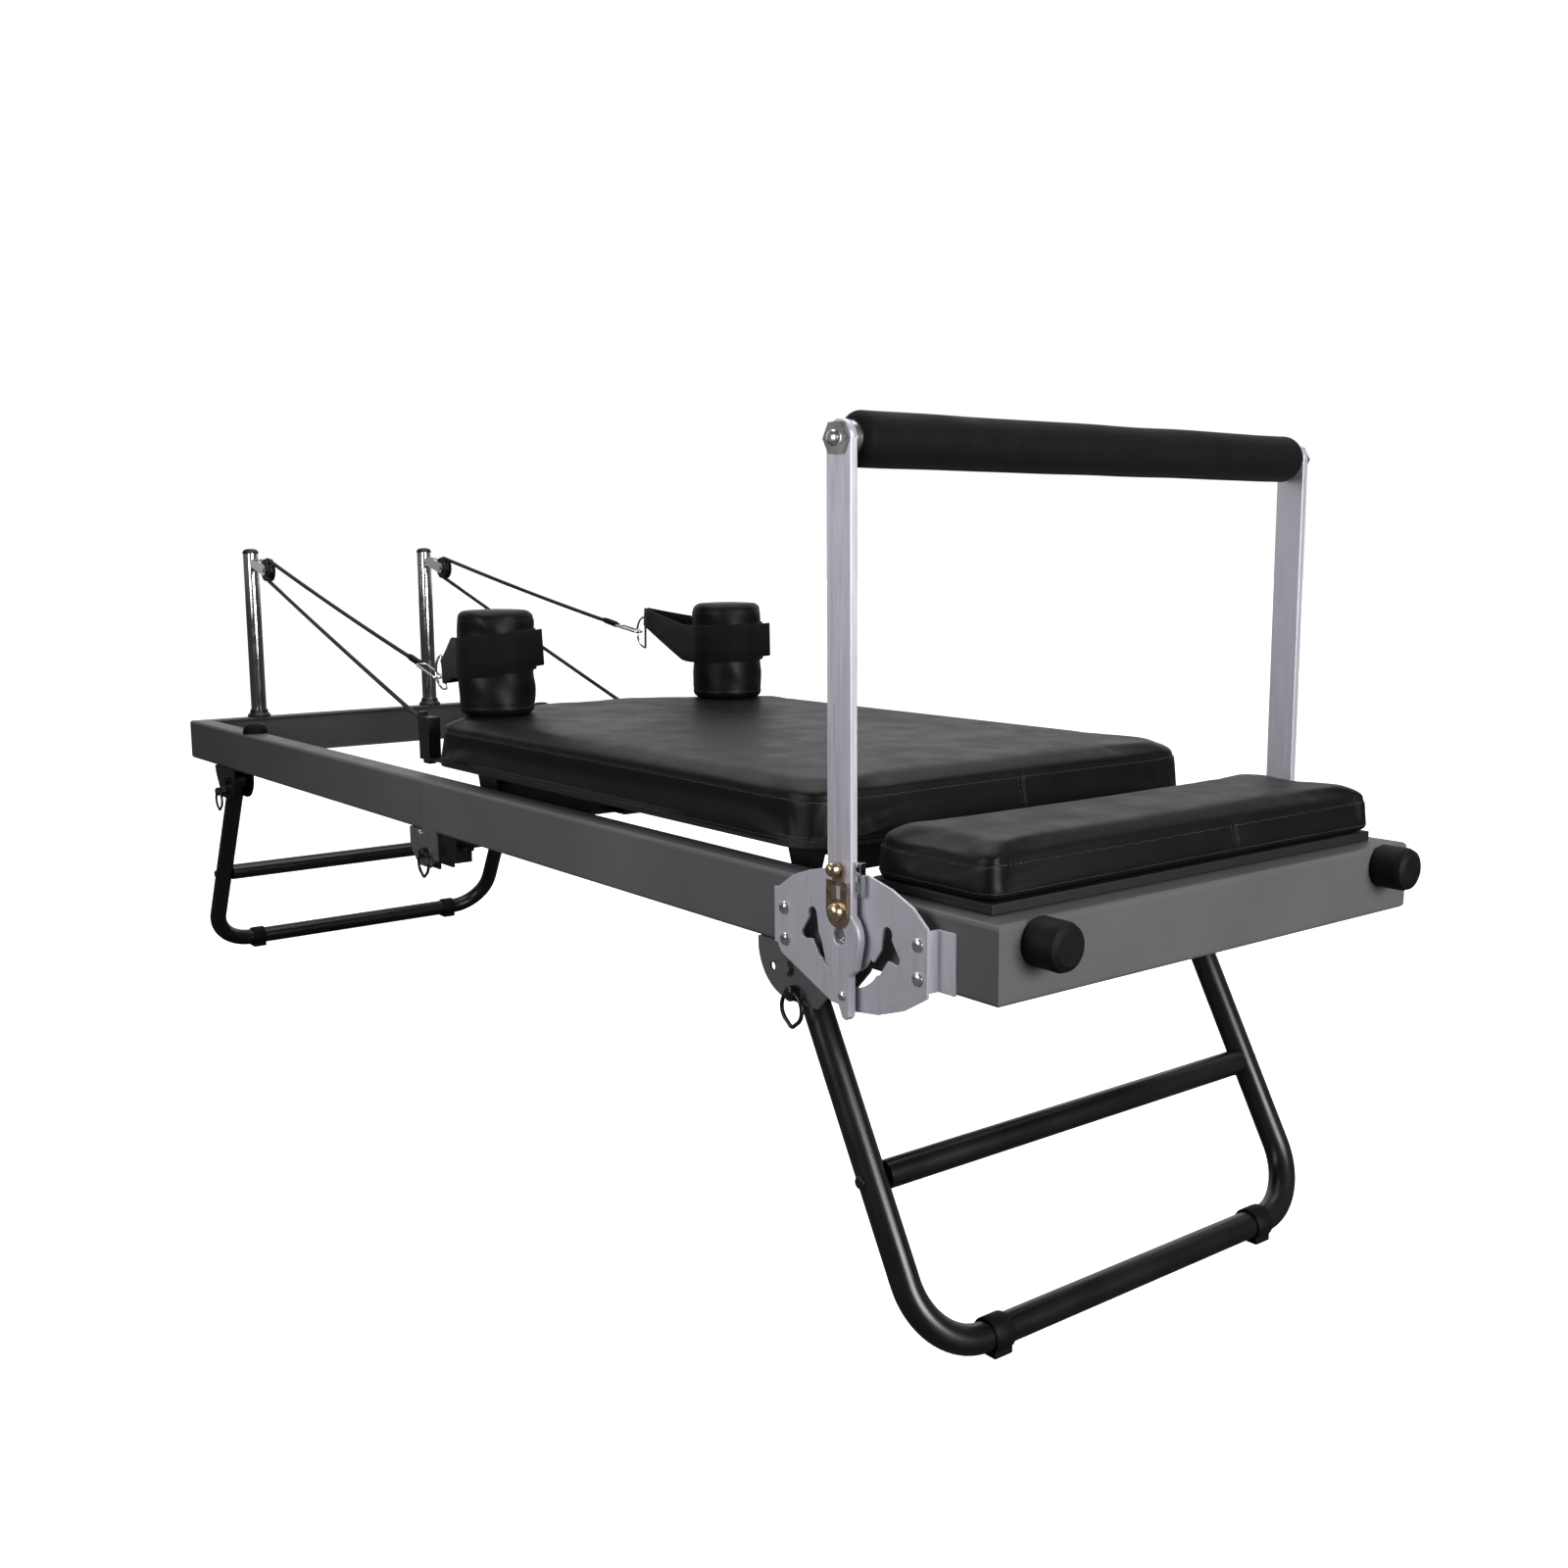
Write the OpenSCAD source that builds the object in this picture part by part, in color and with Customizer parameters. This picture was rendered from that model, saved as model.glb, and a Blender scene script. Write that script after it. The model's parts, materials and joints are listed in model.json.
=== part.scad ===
// Folding pilates reformer. Millimetres, +X to the foot end, +Y to the far side, +Z up, floor at Z = 0.

/* [Frame] */
// Height of the rail tops above the floor
top_z = 445; // [380:1:480]
// Width over the two side rails
frame_w = 600; // [540:5:680]
// Height of the channel rails
rail_h = 70; // [60:1:80]
// Sheet thickness of the rails
rail_t = 3; // [2:0.5:4]
// Width of the inward flanges
flange_w = 32; // [24:1:40]
// Outer bend radius of the rails
bend_r = 5; // [4:0.5:7]
// Foot end of the frame
foot_x = 1042; // [1000:1:1080]
// Head end of the frame
head_x = -1068; // [-1100:1:-1000]
// Fold seam between the two halves
seam_x = -68; // [-100:1:0]

/* [Fold hinge] */
// Depth of the fold axis under the rail bottoms
fold_drop = 36; // [36:1:60]
// Thickness of the fold plates
fold_t = 3.5; // [3:0.5:5]

/* [Legs] */
// Leg tube radius
leg_r = 14.5; // [12:0.5:19]
// Half distance between the two uprights of a leg
leg_y = 282; // [270:1:283]
// Pivot to bottom bar
leg_len = 381; // [300:5:420]
// Outward lean of a standing leg in degrees
leg_lean = 28.8; // [10:0.5:40]
// Bend radius of the leg tube
leg_bend = 70; // [60:2:120]
// Pivot position of the foot leg
foot_leg_x = 760; // [700:1:780]
// Length of the foot-end bumpers
bumper_l = 36; // [25:1:45]
// Half distance between the rubber feet
pad_y = 199; // [120:1:199]

/* [Footbar] */
// Footbar pivot
bar_x = 869; // [840:1:900]
// Height of the footbar pivot
bar_pivot_z = 408; // [400:1:420]
// Height of the grip centre at rest
bar_z = 846; // [780:1:900]
// Width of the flat arms
arm_w = 33; // [25:1:40]
// Inner face of the arms
arm_y = 319; // [318:0.5:325]
// Thickness of the arms
arm_t = 8; // [5:1:12]
// Radius of the foam grip
grip_r = 24.5; // [20:0.5:30]

/* [Carriage] */
// Foot edge of the carriage cushion
car_foot = 782; // [740:1:800]
// Head edge of the carriage cushion
car_head = -161; // [-200:1:-120]
// Half width of the carriage cushion
car_hw = 291; // [260:1:294]
// Underside of the carriage board
car_z = 465; // [460:1:480]
// Thickness of the carriage board
board_t = 12; // [9:1:18]
// Thickness of the cushions
cushion_t = 50; // [40:1:60]
// Wheel radius
wheel_r = 23; // [18:1:25]
// Shoulder rest centre
rest_x = -33; // [-60:1:0]
// Half distance between the shoulder rests
rest_y = 195; // [180:1:210]
// Radius of a shoulder rest
rest_r = 53; // [45:1:60]
// Height of a shoulder rest
rest_h = 144; // [120:1:170]

/* [Pulley posts] */
// Post position along the frame
post_x = -1052; // [-1055:1:-1040]
// Half distance between the posts
post_y = 175; // [150:1:200]
// Height of the chrome tubes
post_h = 307; // [250:1:340]
// Radius of the chrome tubes
post_r = 14; // [12:0.5:16]
// Sheave centre
sheave_x = -962; // [-1000:1:-960]
// Height of the sheave centre
sheave_z = 722; // [690:1:740]
// Rope radius
rope_r = 3.4; // [2.4:0.2:3.6]

/* [Hidden] */
black = [0.07, 0.07, 0.075];
coat = [0.2, 0.2, 0.21];
zinc = [0.72, 0.72, 0.76];
steel = [0.8, 0.8, 0.83];
gold = [0.75, 0.62, 0.42];
bot_z = top_z - rail_h;
half_w = frame_w / 2;
foot_drop = 19;
pad_r = leg_r + 3;
pivot_z = foot_drop + leg_len * cos(leg_lean);
head_leg_x = leg_len * sin(leg_lean) + pad_r - foot_x - bumper_l;
cross_u = 213;
pin_u = 27;
pin_a = leg_lean + 10;
axis_z = bot_z - fold_drop;
fold_pin = [seam_x + 26, axis_z + 8];
wheel_z = bot_z + rail_t + wheel_r + 0.1;
wheel_x = [50, 730];
seat_z = car_z + board_t + cushion_t;
spring_y = [-165, -55, 55, 165];
spring_z = 415;
bar_end = 990;
bolt_pts = [[-95, 8], [-94, -22], [92, 8], [92, -22]];
outline = [[-108, 25], [-108, -24], [-101, -36], [-25, -68], [10, -70], [40, -66], [73, -55],
  [104, -37], [104, 24], [86, 39], [57, 51], [28, 58], [0, 60], [-30, 57], [-59, 50], [-82, 42]];
wheel_y = 286;
rope_end = [[-278, -197, 587], [-350, 197, 629]];
ring_at = [[-198, -196, 579], [-264, 196, 620]];
cleat_at = [-132, 252, 510];
cleat_foot = [-9, -68];

module box(x0, x1, y0, y1, z0, z1) { translate([x0, y0, z0]) cube([x1 - x0, y1 - y0, z1 - z0]); }
// The near (-Y) and far (+Y) copies of a piece drawn for the far side
module both() { children(); mirror([0, 1, 0]) children(); }
module side(s) { if (s > 0) children(); else mirror([0, 1, 0]) children(); }
// A round bar along Y from y0 to y1 at x, z
module ybar(x, z, y0, y1, r, n = 48) {
  translate([x, y0, z]) rotate([-90, 0, 0]) cylinder(h = y1 - y0, r = r, $fn = n);
}
// A round bar between two points
module rod(a, b, r) {
  d = b - a;
  l = norm(d);
  translate(a) rotate([0, acos(d[2] / l), atan2(d[1], d[0])]) cylinder(h = l, r = r, $fn = 32);
}
// A profile in X and Z extruded along Y
module plate(y0, y1) { translate([0, y1, 0]) rotate([90, 0, 0]) linear_extrude(y1 - y0) children(); }
module dome(r, h) {
  rotate_extrude($fn = 48) polygon([[0, 0], [r, 0], [r, h * 0.3], [r * 0.85, h * 0.72],
    [r * 0.5, h * 0.96], [0, h]]);
}

// ---- frame ----
// A rectangle whose corners are rounded by r
module rounded(x0, x1, z0, z1, r) {
  translate([x0 + r, z0]) square([x1 - x0 - 2 * r, z1 - z0]);
  translate([x0, z0 + r]) square([x1 - x0, z1 - z0 - 2 * r]);
  for (x = [x0 + r, x1 - r], z = [z0 + r, z1 - r]) translate([x, z]) circle(r = r, $fn = 32);
}
// A block with the bends of the rolled channels, t inside the outer faces; its end at x1 is closed
module channel_block(x0, x1, t) {
  r = bend_r - t;
  intersection() {
    translate([x0, 0, 0]) rotate([90, 0, 90]) linear_extrude(x1 - t - x0)
      rounded(t - half_w, half_w - t, bot_z + t, top_z - t, r);
    plate(-half_w, half_w) rounded(x0 - 40, x1 - t, bot_z + t, top_z - t, r);
  }
}
// One half of the frame: two rails and an end member, bent from sheet, with the foot end at x1
module frame_half(x0, x1) {
  w = half_w - flange_w;
  difference() {
    channel_block(x0, x1, 0);
    channel_block(x0 - 10, x1, rail_t);
    box(x0 - 10, x1 - flange_w, -w, w, bot_z - 1, top_z + 1);
  }
}
module seam_tube(x0) {
  w = half_w - flange_w;
  difference() {
    box(x0, x0 + 36, -w, w, bot_z, bot_z + 13);
    box(x0 + 2, x0 + 34, -w - 1, w + 1, bot_z + 2, bot_z + 11);
  }
}
module foot_frame() {
  color(coat) union() {
    frame_half(seam_x + 0.5, foot_x);
    seam_tube(seam_x + 14);
    both() plate(296.4, 299.6) translate([seam_x, axis_z]) difference() {
      translate([1, -3]) square([46, fold_drop + 7]);
      circle(r = fold_drop, $fn = 64);
    }
  }
}
module head_frame() {
  color(coat) union() {
    mirror([1, 0, 0]) frame_half(0.5 - seam_x, -head_x);
    seam_tube(seam_x - 50);
  }
}
module foot_bumpers() {
  color(black) both() translate([foot_x, 253, top_z - 19]) rotate([0, 90, 0])
    rotate_extrude($fn = 48) polygon([[0, 0], [21, 0], [22, 2], [22, bumper_l - 8],
      [20, bumper_l - 3], [15, bumper_l], [0, bumper_l]]);
}
module dome_bumpers() {
  color(black) both() translate([-775, 279, top_z]) union() {
    cylinder(h = 4, r = 21, $fn = 48);
    translate([0, 0, 4]) dome(20, 14);
  }
}
module platform_board() { color(black) box(858, 1012, -278, 278, top_z, top_z + 10); }
module platform_cushion() {
  color(black) hull() for (c = [[849, 30], [1019, -22]], k = [-1, 1])
    translate([c[0] + c[1], k * (287 - abs(c[1])), top_z + 10]) {
      cylinder(h = 36, r = abs(c[1]), $fn = 32);
      cylinder(h = 46, r = abs(c[1]) - 10, $fn = 32);
    }
}

// ---- footbar quadrants ----
// A slot with round ends between two 2-D points
module slot2d(a, b, r) {
  t = atan2(b[1] - a[1], b[0] - a[0]);
  polygon([for (i = [-6:6]) b + r * [cos(t + 15 * i), sin(t + 15 * i)],
    for (i = [6:18]) a + r * [cos(t + 15 * i), sin(t + 15 * i)]]);
}
// The three-legged cut-out that runs into the arc slot
module cutout() {
  slot2d([50, -6], [52.5, 10.5], 6);
  slot2d([50, -8], [63.5, -10.5], 5);
  slot2d([50, -8], [38, -24], 6);
  polygon([[57, 7], [67, -7], [60, -14], [48, -14], [46, 0]]);
}
module quadrant_shape() {
  difference() {
    polygon(outline);
    intersection() {
      difference() { circle(r = 48.5, $fn = 64); circle(r = 34.5, $fn = 64); }
      polygon([[0, 0], [-60, -34], [-60, -70], [60, -70], [60, -34]]);
    }
    cutout();
    mirror([1, 0]) cutout();
    circle(r = 6.1, $fn = 32);
  }
}
module quadrant_plates() {
  color(zinc) both() translate([bar_x, 0, bar_pivot_z]) union() {
    plate(313, 315.5) quadrant_shape();
    for (k = [[101.5, 1], [-108, -1]]) {
      x0 = k[0];
      box(x0, x0 + 2.5, 300, 313, -33, 22);
      box(k[1] > 0 ? x0 + 2.5 : x0 - 20, k[1] > 0 ? x0 + 22.5 : x0, 300, 302.5, -33, 22);
    }
  }
}
module quadrant_bolts() {
  color(steel) both() translate([bar_x, 0, bar_pivot_z]) union() {
    for (p = bolt_pts) translate([p[0], 315.5, p[1]]) rotate([-90, 0, 0]) dome(6.5, 3.3);
    ybar(0, 0, 300, 322.6, 6);
    ybar(0, 0, 322.6, 325.4, 3.4, 6);
    ybar(0, 0, 300, 312.9, 11);
  }
}

// ---- fold hinge ----
// Side plates drawn with the fold axis at the origin
module foot_fold_shape() {
  h = fold_drop - 0.1;
  intersection() {
    union() {
      circle(r = 22, $fn = 64);
      translate([0, -14]) square([45, 14 + h]);
      translate([44, 2]) square([54, h - 2]);
    }
    translate([-30, -14]) square([140, 14 + h]);
  }
}
module head_fold_shape() {
  h = fold_drop - 0.1;
  intersection() {
    union() {
      translate([-37, -20]) square([38, 20 + h]);
      circle(r = fold_drop - 0.5, $fn = 64);
    }
    polygon([[-37, h], [40, h], [40, -4], [24, -15], [-12, -15], [-37, 8]]);
  }
}
module fold_plates_foot() {
  web = seam_x + 94;
  color(black) both() union() {
    for (y = [272.5, 292.5]) plate(y, y + fold_t) difference() {
      translate([seam_x, axis_z]) foot_fold_shape();
      translate([seam_x, axis_z]) circle(r = 5.08, $fn = 48);
      translate(fold_pin) circle(r = 4.2, $fn = 32);
    }
    box(seam_x + 45, seam_x + 98, 276, 292.5, bot_z - 3.5, bot_z - 0.1);
    box(web, web + 4, 276, 292.5, axis_z + 2, bot_z - 3.5);
    plate(279, 290) polygon([[web + 4, bot_z - 13], [web + 27, bot_z - 9], [web + 22, bot_z - 16],
      [web + 4, bot_z - 20]]);
  }
}
module fold_plates_head() {
  color(coat) both() union() {
    difference() {
      for (y = [268.5, 296.5]) plate(y, y + fold_t) translate([seam_x, axis_z]) head_fold_shape();
      ybar(seam_x, axis_z, 260, 302, 5.08);
      ybar(fold_pin[0], fold_pin[1], 290, 302, 4.08, 32);
    }
    pin_sleeve(fold_pin[0], fold_pin[1]);
    box(seam_x - 37, seam_x - 33, 272, 296.5, axis_z + 8, bot_z - 0.1);
  }
}
module fold_bolts() {
  color(steel) both() union() {
    ybar(seam_x, axis_z, 264.5, 300, 5);
    ybar(seam_x, axis_z, 264.5, 268.4, 8.5, 6);
    ybar(seam_x, axis_z, 300, 304, 8, 6);
    translate([seam_x - 2, 300, bot_z - 6]) rotate([-90, 0, 0]) dome(5.5, 3.5);
  }
}

// ---- legs ----
// Side plate of a leg bracket, pivot at the origin: a quarter disc of radius r and a web of length w
module bracket_shape(r, w) {
  union() {
    intersection() {
      translate([0, r - 33]) circle(r = r, $fn = 64);
      translate([-60, -60]) square([60, r + 27]);
    }
    polygon([[-r, r - 33], [-r, 21.9], [w, 21.9], [w - 5, 6], [w / 2, -33], [0, -33], [0, r - 33]]);
  }
}
// The guide that a pull pin slides in
module pin_sleeve(x, z) {
  difference() {
    ybar(x, z, 300, 305, 7, 32);
    ybar(x, z, 299, 306, 4.08, 32);
  }
}
module leg_bracket(r, w) {
  px = pin_u * sin(pin_a);
  pz = -pin_u * cos(pin_a);
  both() union() {
    difference() {
      for (y = [264, 297]) plate(y, y + 3) bracket_shape(r, w);
      ybar(px, pz, 296, 302, 4.08, 32);
      ybar(-pin_u * cos(10), -pin_u * sin(10), 296, 302, 4.08, 32);
    }
    ybar(0, 0, 262, 303, 4);
    ybar(0, 0, 300, 306, 8, 6);
    ybar(0, 0, 260, 264, 8, 6);
    box(-r, w, 267, 297, 18.9, 21.9);
    pin_sleeve(px, pz);
  }
}
module foot_leg_brackets() { color(coat) translate([foot_leg_x, 0, pivot_z]) leg_bracket(50, 86); }
module head_leg_brackets() {
  color(black) translate([head_leg_x, 0, pivot_z]) mirror([1, 0, 0]) leg_bracket(38, 62);
}
module leg_tube() {
  s = leg_y - leg_bend;
  difference() {
    union() {
      both() {
        translate([0, leg_y, leg_bend - leg_len]) cylinder(h = leg_len - leg_bend, r = leg_r, $fn = 48);
        translate([0, s, leg_bend - leg_len]) rotate([0, 90, 0])
          rotate_extrude(angle = 90, $fn = 96) translate([leg_bend, 0]) circle(r = leg_r, $fn = 48);
        ybar(0, -leg_len, 0, s, leg_r);
        ybar(0, 0, leg_y - 12, leg_y + 12, leg_r);
      }
    }
    both() {
      translate([0, leg_y, leg_bend - leg_len])
        cylinder(h = leg_len - leg_bend - 20, r = leg_r - 1.6, $fn = 48);
      ybar(0, 0, leg_y - 20, leg_y + 20, 4.08, 32);
    }
    ybar(0, -leg_len, -s, s, leg_r - 1.6);
  }
}
module leg_cross() {
  difference() {
    ybar(0, -cross_u, -267.4, 267.4, 14);
    ybar(0, -cross_u, -250, 250, 12.4);
  }
  both() translate([0, leg_y + leg_r, -cross_u]) rotate([-90, 0, 0]) dome(6.5, 3);
}
module leg_pads(lean) {
  both() translate([0, 0, -leg_len]) plate(pad_y - 12, pad_y + 12) difference() {
    union() {
      circle(r = pad_r, $fn = 48);
      rotate(-lean) translate([-13, -foot_drop]) square([26, foot_drop]);
    }
    circle(r = leg_r + 0.1, $fn = 48);
  }
}
module at_leg(d) {
  translate([d > 0 ? foot_leg_x : head_leg_x, 0, pivot_z]) rotate([0, -d * leg_lean, 0]) children();
}
module foot_leg_tube() { color(coat) at_leg(1) leg_tube(); }
module head_leg_tube() { color(black) at_leg(-1) leg_tube(); }
module foot_leg_crossbar() { color(coat) at_leg(1) leg_cross(); }
module head_leg_crossbar() { color(black) at_leg(-1) leg_cross(); }
module foot_leg_feet() { color(black) at_leg(1) leg_pads(leg_lean); }
module head_leg_feet() { color(black) at_leg(-1) leg_pads(-leg_lean); }

// ---- pull pins ----
// A hanging ring of wire: a wide arc over a narrow one, joined by straight sides
module pull_ring(r1, r2, d, w) {
  b = asin((r1 - r2) / d);
  rotate([90, 0, 0]) rotate([0, 0, -b]) rotate_extrude(angle = 180 + 2 * b, $fn = 64)
    translate([r1, 0]) circle(r = w, $fn = 24);
  translate([0, 0, -d]) rotate([90, 0, 0]) rotate([0, 0, 180 + b])
    rotate_extrude(angle = 180 - 2 * b, $fn = 64) translate([r2, 0]) circle(r = w, $fn = 24);
  for (k = [-1, 1]) {
    p = [k * r1 * cos(b), 0, -r1 * sin(b)];
    q = [k * r2 * cos(b), 0, -d - r2 * sin(b)];
    u = (q - p) / norm(q - p);
    rod(p - 0.4 * u, q + 0.4 * u, w - 0.1);
  }
}
// A pin on the far side at x, z: rod in its sleeve, a knob and a hanging ring
module pull_pin(x, z, s) {
  side(s) union() {
    ybar(x, z, 297.2, 308, 4, 32);
    ybar(x, z, 305.2, 312, 7.5, 32);
    translate([x, 312, z]) rotate([-90, 0, 0]) dome(7.5, 4);
    translate([x, 310, z - 15]) pull_ring(15.5, 5, 13, 2.1);
  }
}
module leg_pin(d, s) {
  pull_pin((d > 0 ? foot_leg_x : head_leg_x) + d * pin_u * sin(pin_a), pivot_z - pin_u * cos(pin_a), s);
}
module foot_pin_near() { color(black) leg_pin(1, -1); }
module foot_pin_far() { color(black) leg_pin(1, 1); }
module head_pin_near() { color(black) leg_pin(-1, -1); }
module head_pin_far() { color(black) leg_pin(-1, 1); }
module fold_pin_near() { color(black) pull_pin(fold_pin[0], fold_pin[1], -1); }
module fold_pin_far() { color(black) pull_pin(fold_pin[0], fold_pin[1], 1); }

// ---- footbar ----
module arm_shape() {
  h = bar_z - bar_pivot_z;
  difference() {
    union() {
      translate([-arm_w / 2, 0]) square([arm_w, h]);
      translate([0, h]) circle(r = arm_w / 2, $fn = 48);
      circle(r = 27, $fn = 64);
      polygon([[-25, -10], [-20, -26], [4, -75], [9, -76], [13.5, -72], [13.5, -35], [21, -28], [26.5, -5]]);
    }
    circle(r = 6.08, $fn = 48);
    translate([0, h]) circle(r = 6, $fn = 32);
  }
}
module footbar_arms() {
  color(zinc) both() difference() {
    plate(arm_y, arm_y + arm_t) translate([bar_x, bar_pivot_z]) arm_shape();
    ybar(bar_x, bar_pivot_z, arm_y + 4, arm_y + arm_t + 1, 8);
  }
}
module footbar_tube() {
  color(steel) difference() {
    ybar(bar_x, bar_z, -arm_y, arm_y, 16);
    both() ybar(bar_x, bar_z, 24, arm_y + 1, 13.5);
  }
}
module footbar_grip() {
  color(black) difference() {
    union() {
      ybar(bar_x, bar_z, -307, 307, grip_r);
      both() translate([bar_x, 307, bar_z]) rotate([-90, 0, 0])
        cylinder(h = 5, r1 = grip_r, r2 = grip_r - 5, $fn = 48);
    }
    ybar(bar_x, bar_z, -320, 320, 16);
  }
}
module footbar_bolts() {
  color(steel) both() union() {
    ybar(bar_x, bar_z, arm_y, arm_y + arm_t, 5.9, 32);
    ybar(bar_x, bar_z, arm_y + arm_t, arm_y + arm_t + 5, 15.5, 6);
    translate([bar_x, arm_y + arm_t + 5, bar_z]) rotate([-90, 0, 0]) dome(7, 5);
    translate([bar_x + 5, arm_y + arm_t, bar_pivot_z - 54]) rotate([-90, 0, 0]) dome(4.5, 3);
  }
}
module footbar_clips() {
  x0 = bar_x + arm_w / 2;
  z0 = bar_pivot_z + 40;
  color(steel) both() difference() {
    box(x0, x0 + 9, arm_y - 2, arm_y + 4, z0, z0 + 30);
    for (k = [3, 17]) box(x0 + 2, x0 + 7, arm_y - 4, arm_y + 6, z0 + k, z0 + k + 9);
  }
}
// The yellow-zinc latch link that rides on an arm, with its dome screw and knob
module latch(s) {
  y = arm_y + arm_t + 0.1;
  side(s) translate([bar_x, 0, bar_pivot_z + 23]) union() {
    plate(y, y + 3) difference() {
      union() {
        circle(r = 14.5, $fn = 48);
        translate([-14.5, 0]) square([29, 28]);
      }
      translate([-5, 12]) square([10, 30]);
    }
    translate([0, y + 3, 0]) rotate([-90, 0, 0]) dome(8.5, 7);
    plate(y, y + 2) translate([-7, 24]) square([14, 18]);
    ybar(0, 39, y, y + 4, 5, 32);
    translate([0, y + 4, 39]) rotate([-90, 0, 0]) dome(7, 9);
  }
}
module latch_near() { color(gold) latch(-1); }
module latch_far() { color(gold) latch(1); }

// ---- carriage ----
// Corner circles of the carriage outline: x, half spread, radius
corners = [[car_foot - 50, car_hw - 50, 50], [car_head + 145, car_hw - 62, 62], [car_head + 100, 60, 100]];
module carriage_board() {
  color(black) difference() {
    hull() for (c = corners, s = [-1, 1]) translate([c[0], s * c[1], car_z])
      cylinder(h = board_t, r = c[2] - 6, $fn = 32);
    both() translate([rest_x, rest_y, car_z - 1]) cylinder(h = board_t + 2, r = 9.1, $fn = 32);
  }
}
module carriage_cushion() {
  color(black) difference() {
    hull() for (c = corners, s = [-1, 1]) translate([c[0], s * c[1], car_z]) {
      cylinder(h = board_t + cushion_t - 9, r = c[2], $fn = 32);
      cylinder(h = board_t + cushion_t, r = c[2] - 10, $fn = 32);
    }
    hull() for (c = corners, s = [-1, 1]) translate([c[0], s * c[1], car_z - 1])
      cylinder(h = board_t + 1, r = c[2] - 5.9, $fn = 32);
    both() translate([rest_x, rest_y, car_z]) cylinder(h = 90, r = 9.1, $fn = 32);
  }
}
module carriage_chassis() {
  z0 = car_z - 28;
  color(black) union() {
    both() difference() {
      union() {
        box(10, 300, 216, 246, z0, car_z - 0.1);
        box(300, 760, 216, 246, car_z - 10, car_z - 0.1);
      }
      box(8, 297, 219, 243, z0 + 3, car_z - 3.1);
      box(290, 762, 219, 243, car_z - 7, car_z - 3.1);
    }
    for (x = [10, 290, 722]) difference() {
      box(x, x + 38, -216, 216, z0, car_z - 0.1);
      box(x + 3, x + 35, -217, 217, z0 + 3, car_z - 3.1);
    }
    box(48, 290, -216, 216, z0, z0 + 3);
    for (y = spring_y) difference() {
      box(752, 756, y - 10, y + 10, spring_z - 12, z0);
      translate([750, y, spring_z]) rotate([0, 90, 0]) cylinder(h = 8, r = 4, $fn = 32);
    }
  }
}
module wheel_brackets() {
  color(black) both() for (x = wheel_x) union() {
    plate(252, 256) polygon([[x - 30, car_z - 0.1], [x + 30, car_z - 0.1], [x + 13, wheel_z + 12],
      [x + 11, wheel_z - 11], [x - 11, wheel_z - 11], [x - 13, wheel_z + 12]]);
    box(x - 30, x + 30, 246.1, 252, car_z - 4, car_z - 0.1);
    ybar(x, wheel_z, 256, 295, 4, 32);
    ybar(x, wheel_z, 256, 276, 7, 32);
  }
}
module wheel(x, s) {
  side(s) difference() {
    union() {
      ybar(x, wheel_z, wheel_y - 7, wheel_y + 7, wheel_r);
      ybar(x, wheel_z, wheel_y - 9, wheel_y + 9, 10);
    }
    ybar(x, wheel_z, wheel_y - 12, wheel_y + 12, 4.06, 32);
  }
}
module wheel_head_near() { color(steel) wheel(wheel_x[0], -1); }
module wheel_head_far() { color(steel) wheel(wheel_x[0], 1); }
module wheel_foot_near() { color(steel) wheel(wheel_x[1], -1); }
module wheel_foot_far() { color(steel) wheel(wheel_x[1], 1); }
module rest_cores() {
  color(black) both() translate([rest_x, rest_y, car_z]) union() {
    cylinder(h = seat_z + rest_h - 12 - car_z, r = 9, $fn = 32);
    translate([0, 0, seat_z - car_z]) cylinder(h = 3, r = 40, $fn = 48);
  }
}
module rest_pads() {
  color(black) both() translate([rest_x, rest_y, seat_z + 3.1]) difference() {
    rotate_extrude($fn = 64) polygon([[0, 0], [rest_r - 12, 0], [rest_r - 3, 5], [rest_r - 1, 14],
      [rest_r, rest_h * 0.3], [rest_r, rest_h * 0.7], [rest_r - 2, rest_h - 16],
      [rest_r - 6, rest_h - 6], [rest_r - 16, rest_h - 1], [0, rest_h]]);
    translate([0, 0, -1]) cylinder(h = rest_h - 13, r = 9.1, $fn = 32);
  }
}
// The near rope is tied to the head of its cleat, the far rope to the foot of a longer one
module cleats() {
  color(black) for (k = [0, 1]) translate([cleat_at[0], (k == 0 ? -1 : 1) * cleat_at[1], car_z])
    difference() {
      union() {
        box(-16, 121, -9, 9, -3.1, -0.1);
        box(-16, 16, -9, 9, -0.1, cleat_at[2] - car_z + 12);
        box(-11, 9, -6, 4, cleat_foot[k], -3.1);
        box(-24, -16, -6, 6, cleat_at[2] - car_z - 6, cleat_at[2] - car_z + 18);
      }
      translate([-40, 0, cleat_at[2] - car_z + 6]) rotate([0, 90, 0]) cylinder(h = 30, r = 4, $fn = 32);
    }
}
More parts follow.
